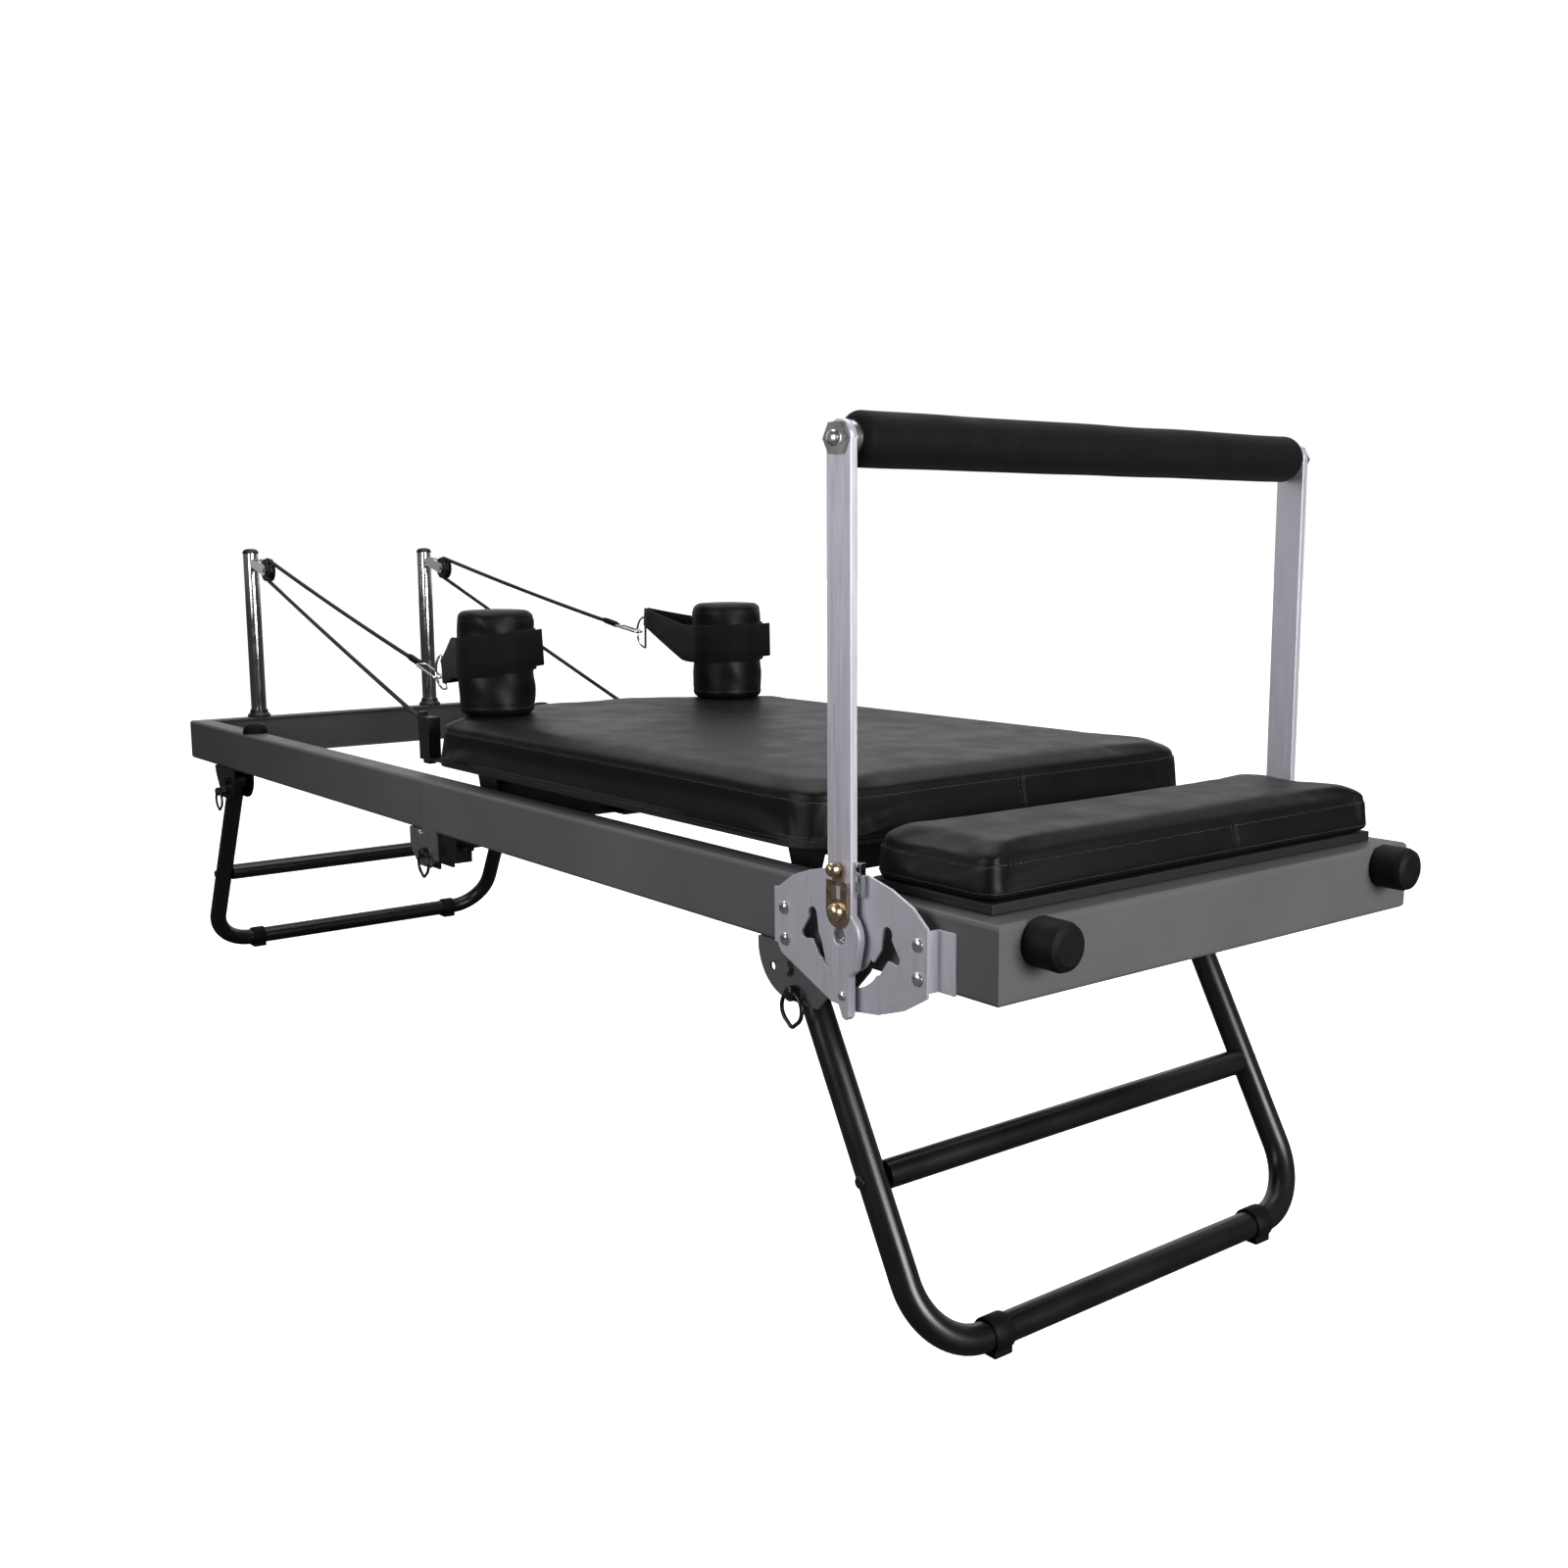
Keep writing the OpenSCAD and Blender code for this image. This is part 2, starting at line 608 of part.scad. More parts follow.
// Where the tail of strap k leaves its shoulder rest, and the tail's slope
function strap_q(k) = [rest_x - rest_r - 3, (k == 0 ? -1 : 1) * rest_y, 614];
function strap_a(k) = asin((strap_q(k)[2] - ring_at[k][2]) / norm(strap_q(k) - ring_at[k]));
module straps() {
  color(black) for (k = [0, 1]) difference() {
    union() {
      translate([rest_x, strap_q(k)[1], 586]) cylinder(h = 56, r = rest_r + 3.2, $fn = 64);
      translate(ring_at[k]) rotate([0, -strap_a(k), 0]) union() {
        translate([0, 0, -21]) cylinder(h = 42, r = 4.4, $fn = 32);
        box(0, norm(strap_q(k) - ring_at[k]) + 2, -1.6, 1.6, -21, 21);
      }
    }
    translate([rest_x, strap_q(k)[1], 500]) cylinder(h = 200, r = rest_r + 0.2, $fn = 64);
    translate(ring_at[k]) rotate([0, -strap_a(k), 0]) translate([0, 0, -30])
      cylinder(h = 60, r = 2.1, $fn = 32);
  }
}
module strap_rings() {
  color(steel) for (k = [0, 1]) translate(ring_at[k]) rotate([0, -strap_a(k), 0]) union() {
    translate([0, 0, -25]) cylinder(h = 50, r = 1.9, $fn = 32);
    rotate([-90, 0, 0]) rotate([0, 0, 90]) rotate_extrude(angle = 180, $fn = 96)
      translate([25, 0]) circle(r = 1.9, $fn = 24);
  }
}
module half_link() {
  rotate_extrude(angle = 180, $fn = 64) translate([7.6, 0]) circle(r = 1.9, $fn = 24);
}
module carabiners() {
  color(steel) for (k = [0, 1]) {
    e = rope_end[k];
    c = ring_at[k] - 25 * [cos(strap_a(k)), 0, sin(strap_a(k))];
    l = norm(e - c) - 9.7;
    translate(c) rotate([0, atan2(e[2] - c[2], c[0] - e[0]), 0]) union() {
      for (y = [-7.6, 7.6]) translate([-l, y, 0]) rotate([0, 90, 0]) cylinder(h = l, r = 1.9, $fn = 24);
      rotate([0, 0, -90]) half_link();
      translate([-l, 0, 0]) rotate([0, 0, 90]) half_link();
    }
  }
}

// ---- springs ----
module spring_bar() {
  color(steel) union() {
    box(bar_end, bar_end + 8, 3 - half_w, half_w - 3, bot_z + bend_r, bot_z + 50);
    for (y = spring_y) translate([bar_end - 8, y, spring_z]) rotate([0, 90, 0])
      cylinder(h = 8, r = 6, $fn = 32);
  }
}
module springs() {
  color(steel) for (y = spring_y) translate([0, y, spring_z]) rotate([0, 90, 0]) union() {
    translate([0, 0, 746]) cylinder(h = 24, r = 2.2, $fn = 24);
    translate([0, 0, 770]) difference() {
      cylinder(h = 196, r = 10, $fn = 48);
      translate([0, 0, 3]) cylinder(h = 190, r = 7, $fn = 48);
    }
    translate([0, 0, 966]) cylinder(h = 15.8, r = 2.2, $fn = 24);
  }
}

// ---- posts, pulleys and ropes ----
eye_x = post_x + 32;
eye_z = sheave_z + 12;
module posts() {
  color(steel) both() union() {
    difference() {
      translate([post_x, post_y, top_z]) cylinder(h = post_h, r = post_r, $fn = 64);
      translate([post_x, post_y, top_z - 1]) cylinder(h = post_h + 2, r = post_r - 1.5, $fn = 64);
    }
    difference() {
      box(post_x + post_r - 1, eye_x + 2, post_y - 3.5, post_y + 3.5, eye_z - 8, eye_z + 8);
      ybar(eye_x, eye_z, post_y - 5, post_y + 5, 3.08, 32);
    }
  }
}
module post_caps() {
  color(black) both() translate([post_x, post_y, top_z + post_h]) union() {
    dome(post_r + 0.5, 9);
    translate([0, 0, -8]) cylinder(h = 8, r = post_r - 1.6, $fn = 48);
  }
}
module post_collars() {
  color(black) both() translate([post_x, post_y, top_z]) difference() {
    rotate_extrude($fn = 64) polygon([[0, 0], [21, 0], [21, 4], [17, 8], [16, 14], [0, 14]]);
    translate([0, 0, -1]) cylinder(h = 20, r = post_r + 0.1, $fn = 64);
  }
}
module pulley(s) {
  side(s) union() {
    for (y = [-9.5, 7.5]) plate(post_y + y, post_y + y + 2) union() {
      translate([eye_x, eye_z]) circle(r = 8, $fn = 32);
      translate([sheave_x, sheave_z]) circle(r = 10, $fn = 32);
      polygon([[eye_x + 2, eye_z + 7.7], [sheave_x + 3, sheave_z + 9.5], [sheave_x - 3, sheave_z - 9.5],
        [eye_x - 2, eye_z - 7.7]]);
    }
    ybar(eye_x, eye_z, post_y - 7.5, post_y + 7.5, 3, 32);
    ybar(sheave_x, sheave_z, post_y - 7.5, post_y + 7.5, 3, 32);
    for (y = [-12, 9.5]) ybar(sheave_x, sheave_z, post_y + y, post_y + y + 2.5, 5, 6);
  }
}
module sheave(s) {
  side(s) translate([sheave_x, post_y, sheave_z]) rotate([-90, 0, 0]) rotate_extrude($fn = 64)
    polygon([[3.06, -6.5], [20, -6.5], [20, -5], [15, -3.3], [15, 3.3], [20, 5], [20, 6.5], [3.06, 6.5]]);
}
module pulley_near() { color(steel) pulley(-1); }
module pulley_far() { color(steel) pulley(1); }
module sheave_near() { color(black) sheave(-1); }
module sheave_far() { color(black) sheave(1); }
// Bearing from the sheave centre c to the point where a strand from p touches a circle of radius r;
// u is 1 for a strand off the top of the sheave and -1 for one off the bottom
function touch(c, p, r, u) = atan2(p[2] - c[2], p[0] - c[0]) + u * acos(r / norm([p[0] - c[0], p[2] - c[2]]));
// One rope: the strap strand from the top of the sheave, the cleat strand from the bottom
module rope(k) {
  s = k == 0 ? -1 : 1;
  wrap_r = rope_r + 0.15;
  r = 15.15 + wrap_r;
  c = [sheave_x, s * post_y, sheave_z];
  e = rope_end[k];
  t = [cleat_at[0] - (k == 0 ? 26 : 14), s * cleat_at[1],
    k == 0 ? cleat_at[2] + 6 : car_z + cleat_foot[1] + 6];
  up = touch(c, e, r, 1);
  dn = touch(c, t, r, -1);
  a = c + r * [cos(up), 0, sin(up)];
  b = c + r * [cos(dn), 0, sin(dn)];
  ue = (e - a) / norm(e - a);
  ut = (t - b) / norm(t - b);
  union() {
    rod(a - 0.6 * ue, e - ue, rope_r);
    rod(e - 40 * ue, e, 5);
    rod(b - 0.6 * ut, t, rope_r);
    translate(c) rotate([90, 0, 0]) rotate([0, 0, up]) rotate_extrude(angle = dn + 360 - up, $fn = 96)
      translate([r, 0]) circle(r = wrap_r, $fn = 24);
  }
}
module rope_near() { color(black) rope(0); }
module rope_far() { color(black) rope(1); }

foot_frame();
platform_board();
platform_cushion();
quadrant_plates();
quadrant_bolts();
foot_bumpers();
foot_leg_brackets();
fold_plates_foot();
spring_bar();
head_frame();
posts();
post_caps();
post_collars();
dome_bumpers();
head_leg_brackets();
fold_plates_head();
fold_bolts();
head_leg_tube();
head_leg_crossbar();
head_leg_feet();
foot_leg_tube();
foot_leg_crossbar();
foot_leg_feet();
footbar_arms();
footbar_tube();
footbar_grip();
footbar_bolts();
footbar_clips();
latch_near();
latch_far();
carriage_board();
carriage_cushion();
carriage_chassis();
wheel_brackets();
rest_cores();
rest_pads();
cleats();
straps();
strap_rings();
carabiners();
wheel_head_near();
wheel_head_far();
wheel_foot_near();
wheel_foot_far();
springs();
rope_near();
rope_far();
pulley_near();
pulley_far();
sheave_near();
sheave_far();
fold_pin_near();
fold_pin_far();
head_pin_near();
head_pin_far();
foot_pin_near();
foot_pin_far();
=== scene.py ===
"""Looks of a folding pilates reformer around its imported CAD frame. Metres, +X to the foot end, +Z up."""

import json
import math
import random

import bmesh
import bpy
import numpy as np
from mathutils import Matrix, Vector
from mathutils.bvhtree import BVHTree
from mathutils.geometry import convex_hull_2d


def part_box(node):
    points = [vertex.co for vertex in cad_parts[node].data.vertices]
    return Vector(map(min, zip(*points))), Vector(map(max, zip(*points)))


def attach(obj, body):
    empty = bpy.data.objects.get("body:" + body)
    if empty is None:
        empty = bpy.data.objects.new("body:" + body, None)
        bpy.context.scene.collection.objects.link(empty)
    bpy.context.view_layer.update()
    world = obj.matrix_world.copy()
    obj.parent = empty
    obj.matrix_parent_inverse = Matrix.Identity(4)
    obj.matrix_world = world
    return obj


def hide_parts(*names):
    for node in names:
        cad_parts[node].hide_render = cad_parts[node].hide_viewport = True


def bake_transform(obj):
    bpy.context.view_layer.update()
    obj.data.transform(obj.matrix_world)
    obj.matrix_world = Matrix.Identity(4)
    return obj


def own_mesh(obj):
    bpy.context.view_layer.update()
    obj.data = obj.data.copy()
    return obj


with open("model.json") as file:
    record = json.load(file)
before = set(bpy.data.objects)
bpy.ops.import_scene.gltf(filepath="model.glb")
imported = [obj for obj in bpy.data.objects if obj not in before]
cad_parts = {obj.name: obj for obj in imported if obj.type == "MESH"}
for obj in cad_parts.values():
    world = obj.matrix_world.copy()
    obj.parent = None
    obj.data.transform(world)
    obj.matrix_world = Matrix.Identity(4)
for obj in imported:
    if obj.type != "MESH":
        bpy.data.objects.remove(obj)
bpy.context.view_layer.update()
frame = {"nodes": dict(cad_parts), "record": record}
NODES = frame["nodes"]
MM = 0.001


# ---- materials ----
class Look:
    """A node-built material: one Principled shader and short calls that add texture to it."""

    def __init__(self, name, color, roughness, metallic=0.0, specular=0.5):
        self.material = bpy.data.materials.new(name)
        self.material.use_nodes = True
        self.tree = self.material.node_tree
        self.shader = self.tree.nodes["Principled BSDF"]
        self.coords = self.node("ShaderNodeTexCoord")
        self.set("Base Color", (*color, 1.0))
        self.set("Roughness", roughness)
        self.set("Metallic", metallic)
        self.set("Specular IOR Level", specular)
        self.last_bump = None

    def node(self, kind, **props):
        made = self.tree.nodes.new(kind)
        for key, value in props.items():
            setattr(made, key, value)
        return made

    def set(self, name, value):
        self.shader.inputs[name].default_value = value

    def link(self, a, b):
        self.tree.links.new(a, b)

    def place(self, stretch, source="Object"):
        mapping = self.node("ShaderNodeMapping")
        mapping.inputs["Scale"].default_value = stretch
        self.link(self.coords.outputs[source], mapping.inputs["Vector"])
        return mapping.outputs["Vector"]

    def noise(self, scale, detail=2.0, stretch=(1, 1, 1), rough=0.5):
        """Noise whose features are about 1/scale metres."""
        n = self.node("ShaderNodeTexNoise")
        n.inputs["Scale"].default_value = scale
        n.inputs["Detail"].default_value = detail
        n.inputs["Roughness"].default_value = rough
        self.link(self.place(stretch), n.inputs["Vector"])
        return n.outputs["Fac"]

    def cells(self, scale, feature="DISTANCE_TO_EDGE"):
        n = self.node("ShaderNodeTexVoronoi", feature=feature)
        n.inputs["Scale"].default_value = scale
        self.link(self.place((1, 1, 1)), n.inputs["Vector"])
        return n.outputs["Distance"]

    def wave(self, scale, direction, source="UV"):
        n = self.node("ShaderNodeTexWave", bands_direction=direction)
        n.inputs["Scale"].default_value = scale
        self.link(self.place((1, 1, 1), source), n.inputs["Vector"])
        return n.outputs["Fac"]

    def remap(self, value, low, high, start=0.3, end=0.7):
        n = self.node("ShaderNodeMapRange")
        n.inputs["From Min"].default_value = start
        n.inputs["From Max"].default_value = end
        n.inputs["To Min"].default_value = low
        n.inputs["To Max"].default_value = high
        self.link(value, n.inputs["Value"])
        return n.outputs["Result"]

    def math(self, operation, a, b):
        n = self.node("ShaderNodeMath", operation=operation)
        for socket, value in zip(n.inputs, (a, b)):
            if isinstance(value, (int, float)):
                socket.default_value = value
            else:
                self.link(value, socket)
        return n.outputs["Value"]

    def vary(self, name, value, low, high):
        self.link(self.remap(value, low, high), self.shader.inputs[name])

    def tint(self, value, a, b):
        n = self.node("ShaderNodeMix", data_type="RGBA")
        n.inputs[6].default_value = (*a, 1.0)
        n.inputs[7].default_value = (*b, 1.0)
        self.link(self.remap(value, 0.0, 1.0), n.inputs[0])
        self.link(n.outputs[2], self.shader.inputs["Base Color"])

    def bump(self, value, depth, strength=1.0):
        """Adds relief of the given depth in metres on top of any earlier relief."""
        n = self.node("ShaderNodeBump")
        n.inputs["Distance"].default_value = depth
        n.inputs["Strength"].default_value = strength
        self.link(value, n.inputs["Height"])
        if self.last_bump:
            self.link(self.last_bump, n.inputs["Normal"])
        self.last_bump = n.outputs["Normal"]
        self.link(self.last_bump, self.shader.inputs["Normal"])

    def soft_edges(self, radius):
        n = self.node("ShaderNodeBevel", samples=4)
        n.inputs["Radius"].default_value = radius
        self.last_bump = n.outputs["Normal"]
        self.link(self.last_bump, self.shader.inputs["Normal"])


def scaled(color, k):
    return tuple(c * k for c in color)


def powder_coat(name, color, roughness, specular=0.5):
    m = Look(name, color, roughness, specular=specular)
    m.soft_edges(0.8 * MM)
    m.tint(m.noise(4, 3), scaled(color, 0.88), scaled(color, 1.14))
    m.vary("Roughness", m.noise(14, 4), roughness - 0.05, roughness + 0.08)
    m.bump(m.noise(620, 2), 0.05 * MM, 0.5)
    return m.material


def brushed(name, color, roughness, stretch, metallic=1.0):
    m = Look(name, color, roughness, metallic=metallic)
    m.soft_edges(0.5 * MM)
    lines = m.noise(16, 5, stretch, 0.65)
    m.tint(lines, scaled(color, 0.94), scaled(color, 1.05))
    m.vary("Roughness", lines, roughness - 0.07, roughness + 0.09)
    m.bump(lines, 0.02 * MM, 0.5)
    return m.material


def polished(name, color, roughness):
    m = Look(name, color, roughness, metallic=1.0)
    m.soft_edges(0.4 * MM)
    m.vary("Roughness", m.noise(55, 4), roughness, roughness + 0.07)
    m.tint(m.noise(20, 2), scaled(color, 0.97), color)
    return m.material


def yellow_zinc(name):
    m = Look(name, (0.56, 0.44, 0.30), 0.30, metallic=1.0)
    m.soft_edges(0.5 * MM)
    m.tint(m.noise(70, 3), (0.60, 0.47, 0.31), (0.48, 0.36, 0.29))
    m.vary("Roughness", m.noise(130, 3), 0.20, 0.38)
    return m.material


def leather(name):
    m = Look(name, (0.004, 0.004, 0.0044), 0.42, specular=0.16)
    m.tint(m.noise(7, 3), (0.003, 0.003, 0.0034), (0.005, 0.005, 0.0054))
    m.vary("Roughness", m.noise(22, 4), 0.38, 0.50)
    m.bump(m.noise(9, 2), 0.9 * MM, 0.35)
    m.bump(m.cells(760), 0.16 * MM, 0.45)
    m.bump(m.noise(2400, 2), 0.04 * MM, 0.4)
    return m.material


def soft_rubber(name, color, roughness, grain, depth):
    m = Look(name, color, roughness, specular=0.16)
    m.tint(m.noise(30, 3), scaled(color, 0.8), scaled(color, 1.3))
    m.vary("Roughness", m.noise(60, 3), roughness - 0.06, roughness + 0.06)
    m.bump(m.noise(grain, 3), depth, 0.6)
    return m.material


def foam(name):
    m = Look(name, (0.005, 0.005, 0.0055), 0.72, specular=0.14)
    m.set("Sheen Weight", 0.03)
    m.set("Sheen Roughness", 0.5)
    m.tint(m.noise(26, 3), (0.003, 0.003, 0.0034), (0.005, 0.005, 0.0055))
    m.vary("Roughness", m.noise(40, 3), 0.66, 0.82)
    m.bump(m.cells(1100, "F1"), 0.18 * MM, 0.6)
    m.bump(m.noise(24, 2), 0.5 * MM, 0.25)
    return m.material


def webbing(name, color):
    """Woven strap: UVs are in metres, along the strap and across it."""
    m = Look(name, color, 0.62, specular=0.14)
    m.set("Sheen Weight", 0.05)
    across, along = m.wave(145, "X"), m.wave(210, "Y")
    weave = m.math("MULTIPLY", across, along)
    m.tint(weave, scaled(color, 0.55), scaled(color, 1.5))
    m.bump(weave, 0.35 * MM, 0.8)
    m.bump(m.noise(1700, 2), 0.06 * MM, 0.4)
    return m.material


def rope_fibre(name):
    m = Look(name, (0.009, 0.009, 0.0095), 0.6, specular=0.3)
    m.set("Sheen Weight", 0.05)
    m.tint(m.noise(900, 3), (0.006, 0.006, 0.0065), (0.018, 0.018, 0.019))
    m.bump(m.noise(2600, 2), 0.12 * MM, 0.7)
    return m.material


def moulded(name, color, roughness):
    m = Look(name, color, roughness, specular=0.45)
    m.soft_edges(0.5 * MM)
    m.tint(m.noise(18, 2), scaled(color, 0.9), scaled(color, 1.12))
    m.vary("Roughness", m.noise(45, 3), roughness - 0.04, roughness + 0.07)
    m.bump(m.noise(1500, 2), 0.03 * MM, 0.4)
    return m.material


def painted_board(name):
    m = Look(name, (0.02, 0.02, 0.02), 0.55, specular=0.4)
    m.soft_edges(0.8 * MM)
    grain = m.noise(30, 5, (0.6, 9, 9), 0.6)
    m.tint(grain, (0.004, 0.004, 0.004), (0.011, 0.011, 0.011))
    m.bump(grain, 0.25 * MM, 0.5)
    return m.material


LOOKS = {
    "charcoal_coat": powder_coat("charcoal_coat", (0.105, 0.102, 0.107), 0.44, 0.30),
    "black_coat": powder_coat("black_coat", (0.0045, 0.0045, 0.005), 0.28),
    "pale_steel": brushed("pale_steel", (0.62, 0.60, 0.67), 0.40, (20, 20, 1), 0.45),
    "zinc_bolts": polished("zinc_bolts", (0.72, 0.70, 0.68), 0.20),
    "chrome": polished("chrome", (0.80, 0.80, 0.82), 0.05),
    "yellow_zinc": yellow_zinc("yellow_zinc"),
    "spring_steel": polished("spring_steel", (0.50, 0.50, 0.52), 0.24),
    "black_leather": leather("black_leather"),
    "black_board": painted_board("black_board"),
    "black_rubber": soft_rubber("black_rubber", (0.003, 0.003, 0.003), 0.60, 1200, 0.06 * MM),
    "foam_grip": foam("foam_grip"),
    "black_plastic": moulded("black_plastic", (0.006, 0.006, 0.006), 0.42),
    "wheel_plastic": moulded("wheel_plastic", (0.62, 0.62, 0.60), 0.36),
    "webbing": webbing("webbing", (0.0025, 0.0025, 0.0027)),
    "rope": rope_fibre("rope"),
}
THREAD = soft_rubber("thread", (0.045, 0.045, 0.048), 0.5, 2600, 0.03 * MM)


# ---- mesh helpers ----
def add_piece(name, verts, faces, look, body=None, slot=None, uvs=None):
    """A smooth-shaded mesh object from lists, with its material and, if named, its CAD body."""
    mesh = bpy.data.meshes.new(name)
    mesh.from_pydata([tuple(v) for v in verts], [], faces)
    if uvs is not None:
        layer = mesh.uv_layers.new(name="along_across")
        for loop in mesh.loops:
            layer.data[loop.index].uv = uvs[loop.vertex_index]
    mesh.validate()
    bm = bmesh.new()
    bm.from_mesh(mesh)
    bmesh.ops.recalc_face_normals(bm, faces=bm.faces)
    bm.to_mesh(mesh)
    bm.free()
    mesh.shade_smooth()
    obj = bpy.data.objects.new(name, mesh)
    bpy.context.scene.collection.objects.link(obj)
    obj.data.materials.append(look)
    if body:
        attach(obj, body)
    return obj


def path_frames(points, up=None):
    """Tangent, side and up vectors along a path; up, if given, is kept as near as it can be."""
    n = len(points)
    frames = []
    side = None
    for i in range(n):
        before, after = points[max(0, i - 1)], points[min(n - 1, i + 1)]
        tangent = (after - before).normalized()
        if up is not None:
            side = tangent.cross(up).normalized()
        elif side is None:
            guess = Vector((0, 0, 1)) if abs(tangent.z) < 0.9 else Vector((1, 0, 0))
            side = tangent.cross(guess).normalized()
        else:
            side = (side - tangent * side.dot(tangent)).normalized()
        frames.append((tangent, side, side.cross(tangent)))
    return frames


def sweep(points, section, up=None):
    """Vertices and faces of a section swept along an open path. section(i) gives (side, up) offsets."""
    frames = path_frames(points, up)
    verts, faces = [], []
    count = len(section(0))
    for i, (p, (_, side, top)) in enumerate(zip(points, frames)):
        verts += [p + side * a + top * b for a, b in section(i)]
    rings = len(points)
    for i in range(rings - 1):
        for k in range(count):
            m = (k + 1) % count
            faces.append((i * count + k, i * count + m, (i + 1) * count + m, (i + 1) * count + k))
    faces.append(tuple(reversed(range(count))))
    faces.append(tuple((rings - 1) * count + k for k in range(count)))
    return verts, faces


def circle_section(radius, sides=12):
    ring = [2 * math.pi * k / sides for k in range(sides)]
    return [(radius * math.cos(a), radius * math.sin(a)) for a in ring]


def revolve(profile, centre, axis="Z", sides=96, wobble=None):
    """A closed surface of revolution. profile is (radius, height) from one pole to the other."""
    verts, faces = [], []
    for r, h in profile:
        for k in range(sides):
            a = 2 * math.pi * k / sides
            rr = r + (wobble(a, h) if wobble and r > 1e-6 else 0)
            p = (rr * math.cos(a), rr * math.sin(a), h)
            if axis == "Y":
                p = (p[0], p[2], p[1])
            verts.append(Vector(centre) + Vector(p))
    for i in range(len(profile) - 1):
        for k in range(sides):
            m = (k + 1) % sides
            faces.append((i * sides + k, i * sides + m, (i + 1) * sides + m, (i + 1) * sides + k))
    faces.append(tuple(range(sides)))
    faces.append(tuple((len(profile) - 1) * sides + k for k in range(sides)))
    return verts, faces


def arc(centre, radius, start, end, steps):
    """Points of a 2-D arc, angles in degrees."""
    angles = [math.radians(start + (end - start) * i / steps) for i in range(steps + 1)]
    return [(centre[0] + radius * math.cos(a), centre[1] + radius * math.sin(a)) for a in angles]


def joined(parts):
    """One list of vertices and faces from several."""
    verts, faces = [], []
    for v, f in parts:
        faces += [tuple(i + len(verts) for i in face) for face in f]
        verts += v
    return verts, faces


def side_box(node, side):
    """Box of the near (-1) or far (+1) half of a CAD node that has a copy on each side."""
    co = np.array([v.co for v in NODES[node].data.vertices])
    co = co[co[:, 1] * side > 0]
    return Vector(co.min(0)), Vector(co.max(0))


# ---- CAD nodes: materials and softened edges ----
EDGE_WIDTH = {
    "platform_board": 1.5, "carriage_board": 1.5, "footbar_arms": 1.0, "quadrant_plates": 0.5,
    "foot_leg_brackets": 0.7, "head_leg_brackets": 0.7, "cleats": 0.8, "latch_near": 0.5,
    "latch_far": 0.5, "foot_leg_feet": 1.5, "head_leg_feet": 1.5, "footbar_clips": 0.4,
}
for row in frame["record"]["subparts"]:
    obj = NODES[row["node"]]
    if not obj.material_slots:
        obj.data.materials.append(None)
    for used in obj.material_slots:
        used.material = LOOKS[row["material_slot"]]


def soften(obj, width):
    weld = obj.modifiers.new("weld", "WELD")
    weld.merge_threshold = 0.01 * MM
    bevel = obj.modifiers.new("bevel", "BEVEL")
    bevel.width = width
    bevel.segments = 2
    bevel.limit_method = "ANGLE"
    bevel.angle_limit = math.radians(40)
    bevel.harden_normals = True


for node, width in EDGE_WIDTH.items():
    soften(NODES[node], width * MM)


# ---- cushions ----
def rounded_outline(corners, steps=14):
    """Convex outline of circles given as (x, y, radius), as 2-D points in order."""
    cloud = [p for x, y, r in corners for p in arc((x, y), r, 0, 360, steps * 4)[:-1]]
    return [cloud[i] for i in convex_hull_2d(cloud)]


def resample(points, step):
    """Evenly spaced points around a closed 2-D outline."""
    pts = np.array(points + points[:1], float)
    lengths = np.linalg.norm(np.diff(pts, axis=0), axis=1)
    at = np.concatenate([[0], np.cumsum(lengths)])
    count = max(8, int(round(at[-1] / step)))
    wanted = np.arange(count) * at[-1] / count
    return np.stack([np.interp(wanted, at, pts[:, 0]), np.interp(wanted, at, pts[:, 1])], 1)


def inset_outline(points, amount):
    """The outline moved inward by amount, point by point."""
    after, before = np.roll(points, -1, 0), np.roll(points, 1, 0)
    t = after - before
    t /= np.linalg.norm(t, axis=1)[:, None]
    return points + amount * np.stack([-t[:, 1], t[:, 0]], 1)


def pad_block(name, outline, z0, z1, edge):
    """A closed block with a rounded top edge, the start of a cushion."""
    rings = [(0, z0), (0, z1 - edge)]
    rings += [(edge * (1 - math.cos(math.radians(a))), z1 - edge + edge * math.sin(math.radians(a)))
              for a in (25, 50, 75, 90)]
    verts, faces = [], []
    for amount, z in rings:
        verts += [(x, y, z) for x, y in inset_outline(outline, amount)]
    n = len(outline)
    for i in range(len(rings) - 1):
        for k in range(n):
            m = (k + 1) % n
            faces.append((i * n + k, i * n + m, (i + 1) * n + m, (i + 1) * n + k))
    faces += [tuple(reversed(range(n))), tuple((len(rings) - 1) * n + k for k in range(n))]
    return add_piece(name, verts, faces, LOOKS["black_leather"])


def apply_modifiers(obj):
    deps = bpy.context.evaluated_depsgraph_get()
    mesh = bpy.data.meshes.new_from_object(obj.evaluated_get(deps))
    obj.modifiers.clear()
    obj.data = mesh
    return obj


CLOTH_PRESSURE = 4.0
CLOTH_FRAMES = 20


